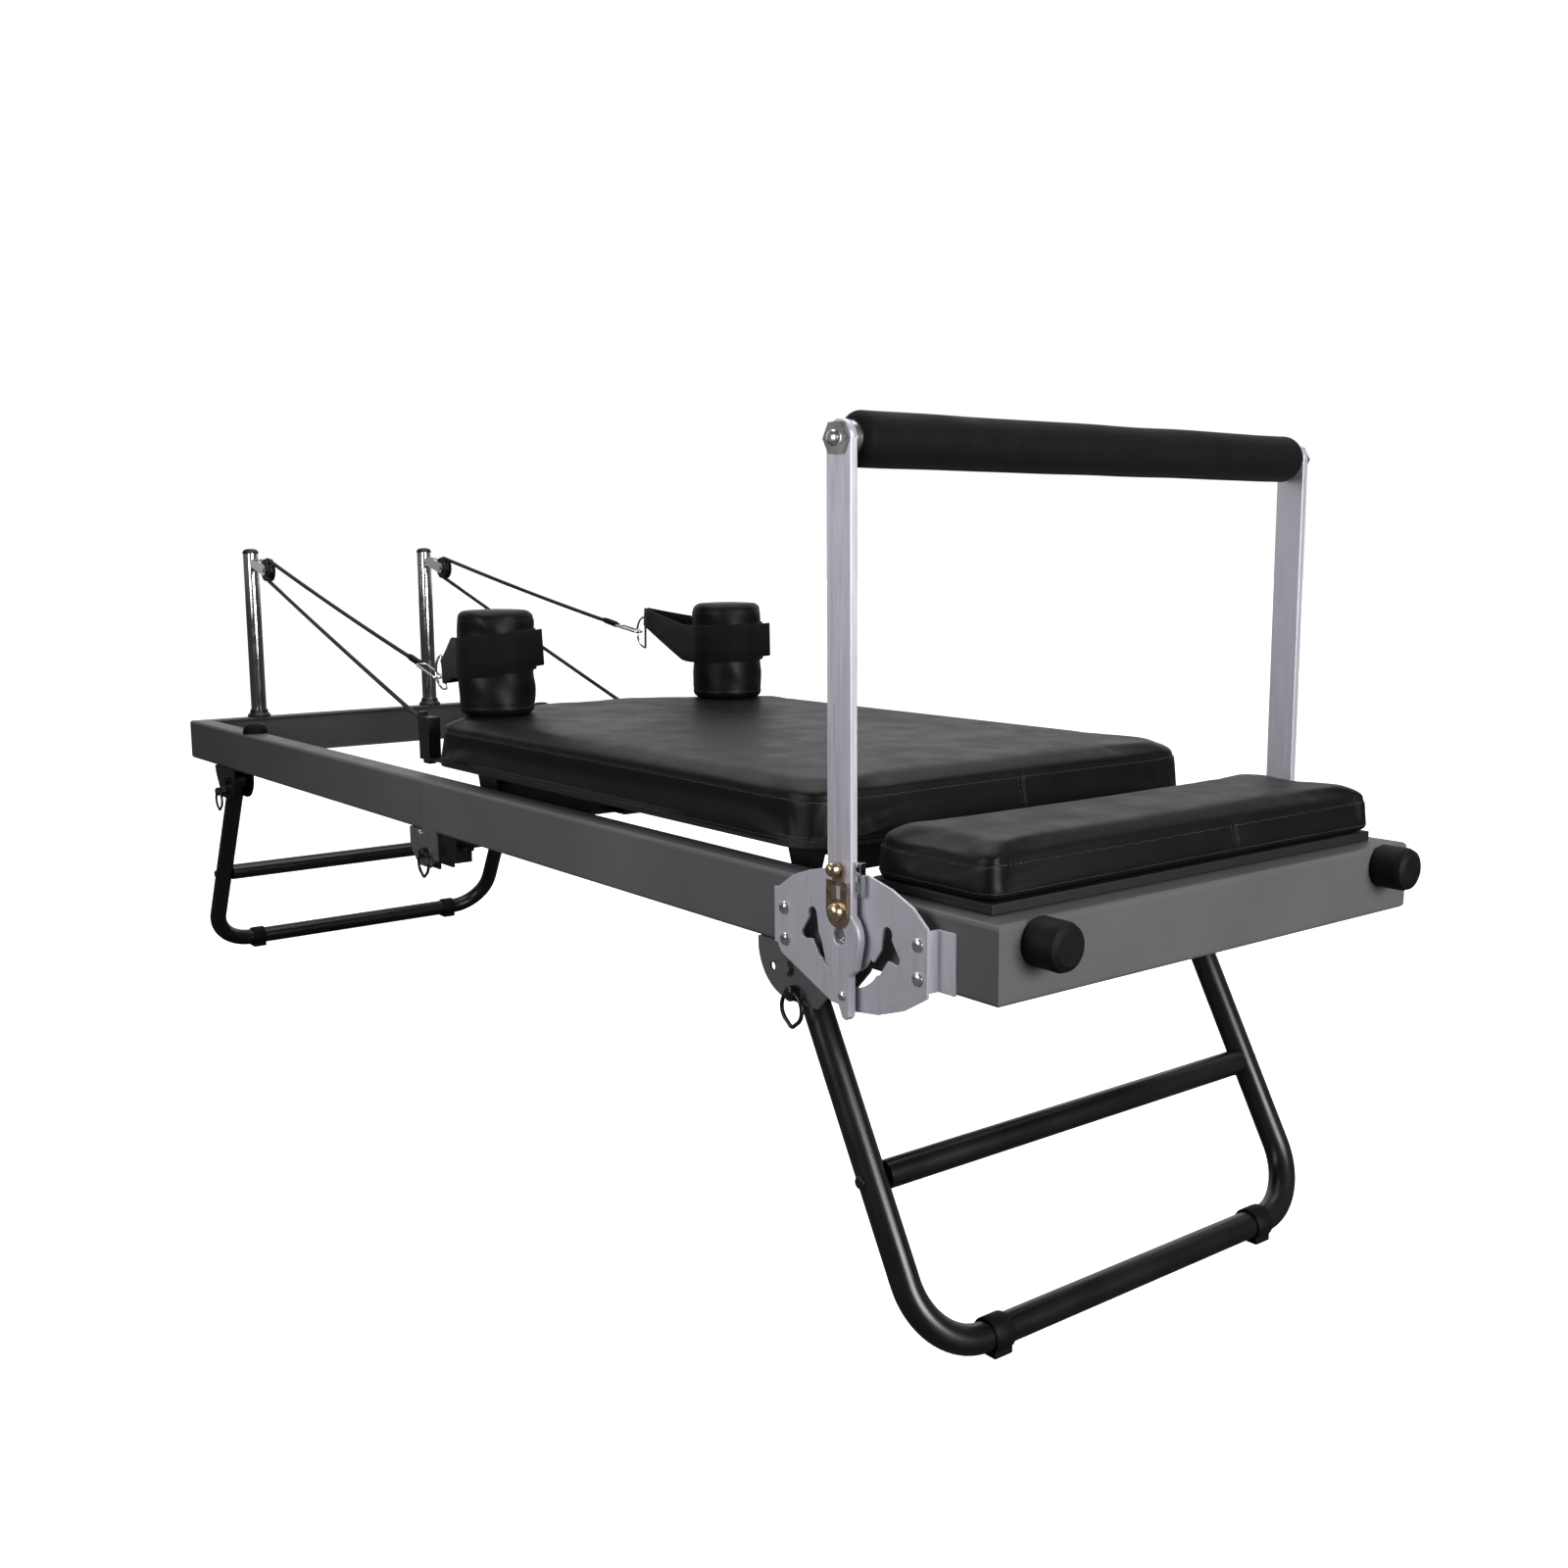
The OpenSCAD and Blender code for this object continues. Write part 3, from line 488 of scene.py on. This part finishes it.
def simulate_pad(obj, voxel, cap, floor_z):
    """Inflates a pad like stuffed cloth, with its underside held flat, and caps how far a point moves."""
    remesh = obj.modifiers.new("remesh", "REMESH")
    remesh.mode = "VOXEL"
    remesh.voxel_size = voxel * 1
    apply_modifiers(obj)
    rest = np.array([v.co for v in obj.data.vertices])
    held = obj.vertex_groups.new(name="held")
    held.add([int(i) for i in np.where(rest[:, 2] < floor_z + 6 * MM)[0]], 1.0, "REPLACE")
    cloth = obj.modifiers.new("cloth", "CLOTH")
    cloth.settings.use_pressure = True
    cloth.settings.uniform_pressure_force = CLOTH_PRESSURE
    cloth.settings.effector_weights.gravity = 0.0
    cloth.settings.vertex_group_mass = "held"
    cloth.settings.quality = 4
    cloth.point_cache.frame_start = 1
    cloth.point_cache.frame_end = CLOTH_FRAMES
    scene = bpy.context.scene
    for f in range(1, CLOTH_FRAMES + 1):
        scene.frame_set(f)
    apply_modifiers(obj)
    scene.frame_set(1)
    moved = np.array([v.co for v in obj.data.vertices]) - rest
    far = np.linalg.norm(moved, axis=1)
    moved *= np.minimum(1, cap / np.maximum(far, 1e-9))[:, None]
    obj.data.vertices.foreach_set("co", (rest + moved).ravel())
    smooth = obj.modifiers.new("smooth", "SMOOTH")
    smooth.factor = 0.5
    smooth.iterations = 4
    subsurf = obj.modifiers.new("subdivide", "SUBSURF")
    subsurf.levels = subsurf.render_levels = 1
    apply_modifiers(obj)
    obj.data.shade_smooth()
    return obj


def surface_points(obj, points):
    """Nearest surface point and normal for each given point."""
    tree = BVHTree.FromObject(obj, bpy.context.evaluated_depsgraph_get())
    return [tree.find_nearest(Vector(p))[:2] for p in points]


def press_line(obj, points, depth, width):
    """Sinks the surface along a line of points, as a seam does."""
    co = np.array([v.co for v in obj.data.vertices])
    no = np.array([v.normal for v in obj.data.vertices])
    line = np.array(points)
    low, high = line.min(0) - 3 * width, line.max(0) + 3 * width
    near = np.where(((co > low) & (co < high)).all(1))[0]
    for chunk in np.array_split(near, max(1, len(near) // 2000)):
        if len(chunk):
            d = np.sqrt(((co[chunk][:, None] - line[None]) ** 2).sum(2).min(1))
            co[chunk] -= no[chunk] * (depth * np.exp(-((d / width) ** 2)))[:, None]
    obj.data.vertices.foreach_set("co", co.ravel())
    obj.data.update()


def stitches(name, surface, points, body, length=3.4 * MM, radius=0.5 * MM, closed=True,
             slot="black_leather"):
    """A row of raised thread stitches that follows a line on a surface, one per point."""
    parts = []
    hits = surface_points(surface, points)
    n = len(hits)
    ring = circle_section(1.0, 6)
    for i, (place, normal) in enumerate(hits):
        if not closed and i == n - 1:
            break
        along = (hits[(i + 1) % n][0] - place).normalized()
        along = (along - normal * along.dot(normal)).normalized()
        side = along.cross(normal)
        verts = []
        for t, w in ((-0.5, 0.35), (-0.3, 0.9), (0.3, 0.9), (0.5, 0.35)):
            c = place + along * (t * length) + normal * (radius * 0.4)
            verts += [c + (side * a + normal * b) * (radius * w) for a, b in ring]
        faces = [(j * 6 + k, j * 6 + (k + 1) % 6, (j + 1) * 6 + (k + 1) % 6, (j + 1) * 6 + k)
                 for j in range(3) for k in range(6)]
        faces += [tuple(reversed(range(6))), tuple(18 + k for k in range(6))]
        parts.append((verts, faces))
    verts, faces = joined(parts)
    return add_piece(name, verts, faces, THREAD, body, slot)


def cushion(name, node, body, corners, seam_y, swell, drop):
    """A stuffed leather cushion over a CAD block: edge seam, stitches below it and an end seam."""
    low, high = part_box(node)
    outline = resample(rounded_outline(corners), 5 * MM)
    inner = inset_outline(outline, swell)
    pad = pad_block(name, inner, low.z + 0.3 * MM, high.z - swell * 0.6, 9 * MM)
    simulate_pad(pad, 5 * MM, swell * 1.25, low.z)
    line_z = high.z - drop
    edge = [(x, y, line_z) for x, y in resample([tuple(p) for p in outline], 4.5 * MM)]
    seam = [tuple(p) for p, _ in surface_points(pad, edge)]
    press_line(pad, seam, 1.3 * MM, 2.6 * MM)
    face_x = max(p[0] for p in edge)
    steps = int((line_z - low.z - 12 * MM) / (4.5 * MM))
    end = [(face_x, seam_y, line_z - 4 * MM - 4.5 * MM * i) for i in range(steps)]
    press_line(pad, [tuple(p) for p, _ in surface_points(pad, end)], 1.4 * MM, 2.2 * MM)
    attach(pad, body)
    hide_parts(node)
    stitches(name + "_edge_stitches", pad, [(x, y, z - 2.6 * MM) for x, y, z in edge], body)
    stitches(name + "_hem_stitches", pad, [(x, y, low.z + 7 * MM) for x, y, _ in edge], body)
    for k, dy in enumerate((-3.0, 3.0)):
        row = [(x, y + dy * MM, z) for x, y, z in end]
        stitches(f"{name}_end_stitches_{k}", pad, row, body, closed=False)


low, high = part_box("carriage_cushion")
foot_r, head_r, nose_r = 50 * MM, 62 * MM, 100 * MM
head_in, nose_y = 145 * MM, 60 * MM
carriage_corners = []
for s in (-1, 1):
    carriage_corners += [
        (high.x - foot_r, s * (high.y - foot_r), foot_r),
        (low.x + head_in, s * (high.y - head_r), head_r),
        (low.x + nose_r, s * nose_y, nose_r),
    ]
cushion("carriage_pad", "carriage_cushion", "carriage", carriage_corners, 5 * MM, 5 * MM, 10 * MM)

low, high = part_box("platform_cushion")
back_r, front_r = 30 * MM, 22 * MM
platform_corners = []
for s in (-1, 1):
    platform_corners += [
        (low.x + back_r, s * (high.y - back_r), back_r),
        (high.x - front_r, s * (high.y - front_r), front_r),
    ]
cushion("platform_pad", "platform_cushion", "foot_section", platform_corners, 52 * MM, 5 * MM, 9 * MM)


# ---- shoulder rests, their bands and tails ----
def band_span(side, centre_x):
    """Height range of a CAD band where it goes round its rest."""
    co = np.array([v.co for v in NODES["straps"].data.vertices])
    z = co[(co[:, 1] * side > 0) & (co[:, 0] > centre_x)][:, 2]
    return float(z.min()), float(z.max())


def ring_bar(side):
    """Middle of the straight bar of a CAD D-ring, from its two end faces."""
    co = np.array([v.co for v in NODES["strap_rings"].data.vertices])
    co = co[co[:, 1] * side > 0]
    top = co[co[:, 2] > co[:, 2].max() - 1 * MM].mean(0)
    bottom = co[co[:, 0] > co[:, 0].max() - 1 * MM].mean(0)
    return Vector((top + bottom) / 2)


def barrel_profile(low_z, high_z, radius, band_low, band_high):
    """Half outline of a padded barrel that a band pinches, from the bottom pole to the top pole."""
    foot_r, top_r = 11 * MM, 12 * MM
    points = [(0.001 * MM, low_z), (radius - foot_r - 8 * MM, low_z)]
    points += [(radius - foot_r + foot_r * math.sin(math.radians(a)),
                low_z + foot_r - foot_r * math.cos(math.radians(a))) for a in range(10, 91, 10)]
    z = low_z + foot_r
    while z < high_z - top_r - 2 * MM:
        z += 3 * MM
        points.append((radius, z))
    points += [(radius - top_r + top_r * math.cos(math.radians(a)),
                high_z - top_r + top_r * math.sin(math.radians(a))) for a in range(10, 91, 10)]
    points += [(radius * k, high_z + 1.5 * MM * (1 - k)) for k in (0.5, 0.25)]
    points.append((0.001 * MM, high_z + 1.2 * MM))
    middle, half = (band_low + band_high) / 2, (band_high - band_low) / 2
    shaped = []
    for r, z in points:
        if r > radius * 0.8:
            away = max(0.0, abs(z - middle) - half)
            r += 0.8 * MM * math.exp(-(((away - 14 * MM) / (13 * MM)) ** 2)) - 0.6 * MM
        shaped.append((r, z))
    return shaped


def rest(side, label):
    low, high = side_box("rest_pads", side)
    centre = Vector(((low.x + high.x) / 2, (low.y + high.y) / 2, 0))
    radius = (high.x - low.x) / 2 - 1.0 * MM
    band_low, band_high = band_span(side, centre.x)
    rng = random.Random(40 + side)
    waves = [(rng.randint(2, 7), rng.uniform(0, 6.28), rng.uniform(60, 160)) for _ in range(5)]

    def wobble(a, h):
        return 0.35 * MM * sum(math.sin(n * a + p + h * k) for n, p, k in waves)

    profile = barrel_profile(low.z, high.z - 1.2 * MM, radius, band_low, band_high)
    verts, faces = revolve(profile, centre, sides=96, wobble=wobble)
    pad = add_piece(f"rest_barrel_{label}", verts, faces, LOOKS["black_leather"], "carriage",
                    "black_leather")
    around = arc((centre.x, centre.y), radius, 0, 360, 84)[:-1]
    for name, z in (("top", high.z - 12 * MM), ("foot", low.z + 13 * MM)):
        line = [(x, y, z) for x, y in around]
        press_line(pad, [tuple(p) for p, _ in surface_points(pad, line)], 0.9 * MM, 1.8 * MM)
        stitches(f"rest_{name}_stitches_{label}", pad, [(x, y, z - 2.4 * MM) for x, y, z in line],
                 "carriage", 2.4 * MM, 0.4 * MM)
    return pad


rest_near = rest(-1, "near")
rest(1, "far")
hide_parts("rest_pads")


WEBBING_T = 1.8 * MM
BAND_HALF = 28 * MM  # half the width of a band where it goes round its rest
TAIL_W = 50 * MM
TAIL_START, TAIL_END = -70, 18  # degrees round the rest
TILT_WAY = Vector((0.6, 0.8))  # plan direction in which a band rises


def ribbon(name, path, widths):
    """A flat webbing strap along a path, riding on the carriage; its width runs along Z."""
    length = [0.0]
    for a, b in zip(path, path[1:]):
        length.append(length[-1] + (b - a).length)

    def section(i):
        w, t, lip = widths[i] / 2, WEBBING_T / 2, WEBBING_T * 0.35
        return [(-t, -w + lip), (-t * 0.5, -w), (t * 0.5, -w), (t, -w + lip), (t, -w / 3), (t, w / 3),
                (t, w - lip), (t * 0.5, w), (-t * 0.5, w), (-t, w - lip), (-t, w / 3), (-t, -w / 3)]

    verts, faces = sweep(path, section, Vector((0, 0, 1)))
    uvs = [(length[i // 12], section(i // 12)[i % 12][1]) for i in range(len(verts))]
    return add_piece(name, verts, faces, LOOKS["webbing"], "carriage", "webbing", uvs)


def strap(side, label, tilt, bar_half):
    """Teardrop loop: round the rest and back to the ring at both ends, drawn in plan, then tilted."""
    low, high = side_box("rest_pads", side)
    bar = ring_bar(side)
    centre = Vector(((low.x + high.x) / 2, (low.y + high.y) / 2))
    wrap = (high.x - low.x) / 2 + 1.1 * MM
    ring = Vector((bar.x, bar.y))
    reach = (ring - centre).length
    turn = math.degrees(math.acos(wrap / reach))
    start = 180 - turn
    band_z = sum(band_span(side, centre.x)) / 2
    ring_z = bar.z
    plan = []
    straight = 14
    first = Vector(arc(centre, wrap, start, start, 1)[0])
    last = Vector(arc(centre, wrap, -start, -start, 1)[0])
    for i in range(straight):
        plan.append(ring.lerp(first, i / straight) + Vector((0, 2.2 * MM * (1 - i / straight))))
    plan += [Vector(p) for p in arc(centre, wrap, start, -start, 64)]
    for i in range(1, straight + 1):
        plan.append(last.lerp(ring, i / straight) - Vector((0, 2.2 * MM * i / straight)))
    slope = math.tan(math.radians(tilt))
    path, widths = [], []
    for p in plan:
        t = min(1.0, max(0.0, (centre.x - wrap - p.x) / (centre.x - wrap - ring.x)))
        z = band_z + slope * (p - centre).dot(TILT_WAY) * (1 - t)
        path.append(Vector((p.x, p.y, z + (ring_z - band_z) * t)))
        widths.append(2 * (BAND_HALF * (1 - t) + bar_half * t))
    loop = ribbon(f"strap_{label}", path, widths)
    tail = [Vector(p) for p in arc(centre, wrap + 2.0 * MM, TAIL_START, TAIL_END, 40)]
    off = (tail[-1] - tail[-2]).normalized()
    tail += [tail[-1] + off * (3 * MM * i) for i in range(1, 12)]
    tail_path = []
    for p in tail:
        z = band_z + slope * (p - centre).dot(TILT_WAY) + 1.5 * MM
        tail_path.append(Vector((p.x, p.y, z)))
    ribbon(f"strap_tail_{label}", tail_path, [TAIL_W] * len(tail))
    for k, face in ((-1, "outer"), (1, "inner")):
        box_stitch(f"strap_{label}_{face}_stitches", loop, ring, ring_z, bar_half, k)
    return loop


def box_stitch(name, loop, ring, ring_z, bar_half, k):
    """A crossed box of stitches where a strap doubles back behind its D-ring."""
    x0, x1, half = ring.x + 10 * MM, ring.x + 34 * MM, bar_half - 5 * MM
    corners = [(x0, -half), (x1, -half), (x1, half), (x0, half), (x0, -half), (x1, half), (x1, -half),
               (x0, half)]
    line = []
    for (xa, za), (xb, zb) in zip(corners, corners[1:]):
        n = max(2, int(math.hypot(xb - xa, zb - za) / (2.6 * MM)))
        line += [(xa + (xb - xa) * i / n, ring.y + k * 30 * MM, ring_z + za + (zb - za) * i / n)
                 for i in range(n)]
    stitches(name, loop, line, "carriage", 1.9 * MM, 0.4 * MM, closed=False, slot="webbing")


strap_near = strap(-1, "near", 6, 18 * MM)
strap(1, "far", 2, 15 * MM)
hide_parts("straps")


# ---- foam grip ----
def grip():
    low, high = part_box("footbar_grip")
    centre = (low + high) / 2
    radius, half, round_r = (high.x - low.x) / 2, (high.y - low.y) / 2, 9 * MM
    profile = [(15.2 * MM, -half + 1 * MM), (16.5 * MM, -half)]
    profile += [(radius - round_r + round_r * math.sin(math.radians(a)),
                 -half + round_r - round_r * math.cos(math.radians(a))) for a in range(0, 91, 10)]
    steps = 90
    profile += [(radius, -half + round_r + (2 * half - 2 * round_r) * i / steps) for i in range(1, steps)]
    profile += [(r, -y) for r, y in reversed(profile[:12])]
    rng = random.Random(7)
    waves = [(rng.randint(1, 4), rng.uniform(0, 6.28), rng.uniform(8, 60)) for _ in range(6)]

    def wobble(a, h):
        return 0.10 * MM * sum(math.sin(n * a + p + h * k) for n, p, k in waves)

    verts, faces = revolve(profile, centre, "Y", 64, wobble)
    piece = add_piece("foam_sleeve", verts, faces, LOOKS["foam_grip"], "footbar", "foam_grip")
    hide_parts("footbar_grip")


grip()


# ---- springs ----
WIRE_R, COIL_R, COIL_PITCH, COIL_HOOK = 1.3 * MM, 8.6 * MM, 3.4 * MM, 22 * MM
SPRING_EDGE = 10 * MM  # from the side of the spring set to its outer spring


def coil(start, end, radius, pitch, hook):
    """Points of a close-wound spring with a straight end at each side."""
    length = (end - start).length
    along = (end - start).normalized()
    points = [start.copy(), start + along * hook * 0.5]
    body = length - 2 * hook
    turns = body / pitch
    steps = int(turns * 14)
    for i in range(steps + 1):
        t = i / steps
        a = 2 * math.pi * turns * t
        r = radius * min(1.0, 8 * min(t, 1 - t) + 0.12)
        offset = Vector((0, r * math.cos(a), r * math.sin(a)))
        points.append(start + along * (hook + body * t) + offset)
    points += [end - along * hook * 0.5, end]
    return points


def springs():
    low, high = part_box("springs")
    z = (low.z + high.z) / 2
    outer = high.y - SPRING_EDGE
    inner = outer / 3
    for k, y in enumerate((-outer, -inner, inner, outer)):
        path = coil(Vector((low.x, y, z)), Vector((high.x, y, z)), COIL_R, COIL_PITCH, COIL_HOOK)
        verts, faces = sweep(path, lambda i: circle_section(WIRE_R, 6))
        piece = add_piece(f"coil_spring_{k}", verts, faces, LOOKS["spring_steel"], None, "spring_steel")
        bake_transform(piece)
        if k == 0:
            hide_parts("springs")


springs()


# ---- ropes ----
def twisted(points, radius, pitch=11 * MM, strands=3):
    """A laid rope: a lobed section that turns as it runs."""
    run = [0.0]
    for a, b in zip(points, points[1:]):
        run.append(run[-1] + (b - a).length)
    angles = [2 * math.pi * k / 15 for k in range(15)]

    def section(i):
        turn = 2 * math.pi * run[i] / pitch
        ring = []
        for a in angles:
            r = radius * (0.84 + 0.16 * abs(math.cos(strands * (a - turn) / 2)))
            ring.append((r * math.cos(a), r * math.sin(a)))
        return ring

    return sweep(points, section)


ROPE_STEP = 1.4 * MM


def straight_points(a, b, sag):
    """Points of a nearly straight rope that hangs by sag at its middle."""
    n = max(2, int((b - a).length / ROPE_STEP))
    return [a.lerp(b, i / n) - Vector((0, 0, 4 * sag * (i / n) * (1 - i / n))) for i in range(n + 1)]


def touch_angle(c, p, r, turn):
    """Bearing in XZ from a wheel's centre to where a line from p touches a circle of radius r."""
    d = p - c
    return math.atan2(d.z, d.x) + turn * math.acos(r / math.hypot(d.x, d.z))


GROOVE_R = 15.15 * MM  # radius of the floor of a sheave's groove
ROPE_GAP = 0.15 * MM
SLEEVE_LENGTH = 46 * MM


def rope(side, label):
    """One rope: a strand to the strap, a strand to the cleat, the turn on its sheave and a sleeve."""
    wheel_low, wheel_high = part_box(f"sheave_{label}")
    c = (wheel_low + wheel_high) / 2
    low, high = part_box(f"rope_{label}")
    radius = (c.x - low.x - GROOVE_R) / 2 - ROPE_GAP
    groove = GROOVE_R + radius + ROPE_GAP
    co = np.array([v.co for v in NODES["carabiners"].data.vertices])
    co = co[co[:, 1] * side > 0]
    tip = Vector(co[co[:, 0] < co[:, 0].min() + 3 * MM].mean(0))
    tip.x += 1.5 * MM
    co = np.array([v.co for v in NODES[f"rope_{label}"].data.vertices])
    tail = Vector(co[co[:, 0] > high.x - 2 * MM].mean(0))
    up = touch_angle(c, tip, groove, 1)
    down = touch_angle(c, tail, groove, -1)

    def on_wheel(a):
        return Vector((c.x + groove * math.cos(a), c.y, c.z + groove * math.sin(a)))

    top, bottom = on_wheel(up), on_wheel(down)
    look = LOOKS["rope"]
    upper_path, lower_path = straight_points(top, tip, 3 * MM), straight_points(bottom, tail, 2 * MM)
    strand = add_piece(f"rope_strap_strand_{label}", *twisted(upper_path, radius), look, "carriage",
                       "rope")
    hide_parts(f"rope_{label}")
    lower = add_piece(f"rope_cleat_strand_{label}", *twisted(lower_path, radius), look, "carriage",
                      "rope")
    steps = 46
    sweep_angle = down + 2 * math.pi - up
    wrap = [on_wheel(up + sweep_angle * i / steps) for i in range(steps + 1)]
    add_piece(f"rope_wrap_{label}", *twisted(wrap, radius), look, f"pulley_{label}", "rope")
    along = (tip - top).normalized()
    sleeve = [tip - along * (SLEEVE_LENGTH * (1 - i / 16)) for i in range(17)]

    def sleeve_section(i):
        r = (4.9 + 0.5 * math.sin(i * 2.1)) * MM * min(1.0, 0.72 + 0.1 * min(i, 16 - i))
        return circle_section(r, 14)

    add_piece(f"rope_sleeve_{label}", *sweep(sleeve, sleeve_section), LOOKS["black_rubber"], "carriage",
              "black_rubber")
    for piece, start, anchor in ((strand, top, tip), (lower, bottom, tail)):
        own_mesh(piece)


rope(-1, "near")
rope(1, "far")


# ---- stage, light and camera ----
ROOM_LOW, ROOM_HIGH = 0.12, 0.85  # light from the room in front of the object and from behind it
BACKDROP_WAY = (-0.79, 0.60, 0.12)
FLOOR_BOUNCE, FLOOR_GLOW = 0.10, 1.0


def area_light(name, place, target, size, power):
    data = bpy.data.lights.new(name, "AREA")
    data.shape = "RECTANGLE"
    data.size, data.size_y = size
    data.energy = power
    obj = bpy.data.objects.new(name, data)
    bpy.context.scene.collection.objects.link(obj)
    obj.location = place
    obj.rotation_euler = (Vector(target) - Vector(place)).to_track_quat("-Z", "Y").to_euler()


def background(tree, color, strength):
    shader = tree.nodes.new("ShaderNodeBackground")
    shader.inputs["Color"].default_value = (*color, 1)
    shader.inputs["Strength"].default_value = strength
    return shader


def studio_world():
    """White behind the object; for light and reflections a dark room, bright only behind the object."""
    world = bpy.data.worlds.new("studio")
    bpy.context.scene.world = world
    world.use_nodes = True
    tree = world.node_tree
    tree.nodes.clear()
    out = tree.nodes.new("ShaderNodeOutputWorld")
    mix = tree.nodes.new("ShaderNodeMixShader")
    rays = tree.nodes.new("ShaderNodeLightPath")
    seen = background(tree, (1, 1, 1), 1.0)
    lit = background(tree, (0.96, 0.97, 1.0), 1.0)
    where = tree.nodes.new("ShaderNodeTexCoord")
    facing = tree.nodes.new("ShaderNodeVectorMath")
    facing.operation = "DOT_PRODUCT"
    facing.inputs[1].default_value = BACKDROP_WAY
    level = tree.nodes.new("ShaderNodeMapRange")
    for name, value in (("From Min", 0.3), ("From Max", 0.95), ("To Min", ROOM_LOW), ("To Max", ROOM_HIGH)):
        level.inputs[name].default_value = value
    tree.links.new(where.outputs["Generated"], facing.inputs[0])
    tree.links.new(facing.outputs["Value"], level.inputs["Value"])
    tree.links.new(level.outputs["Result"], lit.inputs["Strength"])
    tree.links.new(rays.outputs["Is Camera Ray"], mix.inputs[0])
    tree.links.new(lit.outputs[0], mix.inputs[1])
    tree.links.new(seen.outputs[0], mix.inputs[2])
    tree.links.new(mix.outputs[0], out.inputs["Surface"])


def pale_floor():
    """A white floor that the object sees as a dimmer one, so that its dark sides stay dark."""
    look = Look("pale_floor", (0.9, 0.9, 0.9), 0.6, specular=0.1)
    rays = look.node("ShaderNodeLightPath")
    seen = rays.outputs["Is Camera Ray"]
    tone = look.node("ShaderNodeMix", data_type="RGBA")
    tone.inputs[6].default_value = (FLOOR_BOUNCE, FLOOR_BOUNCE, FLOOR_BOUNCE, 1)
    tone.inputs[7].default_value = (0.92, 0.92, 0.92, 1)
    look.link(seen, tone.inputs[0])
    look.link(tone.outputs[2], look.shader.inputs["Base Color"])
    look.set("Emission Color", (1, 1, 1, 1))
    glow = look.math("MULTIPLY", seen, FLOOR_GLOW)
    look.link(glow, look.shader.inputs["Emission Strength"])
    bpy.ops.mesh.primitive_plane_add(size=60)
    floor = bpy.context.object
    floor.name = "floor"
    floor.data.materials.append(look.material)


def stage():
    pale_floor()
    studio_world()
    area_light("top_softbox", (-0.2, 0.2, 3.0), (0.0, 0.0, 0.4), (3.0, 2.0), 50)
    area_light("foot_softbox", (3.9, 0.1, 1.1), (0.9, 0.0, 0.4), (1.6, 1.4), 110)
    area_light("near_softbox", (0.5, -1.6, 0.9), (0.35, 0.0, 0.4), (0.9, 0.6), 11)


CAMERA_PLACE = Vector((1.9357, -1.2053, 0.7505))
CAMERA_AZIMUTH, CAMERA_ELEVATION, CAMERA_ROLL = (math.radians(v) for v in (52.54, 8.40, -0.39))
CAMERA_LENS = 36.25


def camera():
    a, e, r = CAMERA_AZIMUTH, CAMERA_ELEVATION, CAMERA_ROLL
    back = Vector((math.sin(a) * math.cos(e), -math.cos(a) * math.cos(e), math.sin(e)))
    right = Vector((math.cos(a), math.sin(a), 0))
    up = back.cross(right)
    turned_right = right * math.cos(r) + up * math.sin(r)
    turned_up = up * math.cos(r) - right * math.sin(r)
    data = bpy.data.cameras.new("camera")
    data.lens = CAMERA_LENS
    data.sensor_width = 36.0
    data.clip_start = 0.05
    obj = bpy.data.objects.new("camera", data)
    bpy.context.scene.collection.objects.link(obj)
    obj.matrix_world = Matrix.Translation(CAMERA_PLACE) @ Matrix(
        (turned_right, turned_up, back)).transposed().to_4x4()
    bpy.context.scene.camera = obj


stage()
camera()
bpy.context.scene.view_settings.view_transform = "Standard"
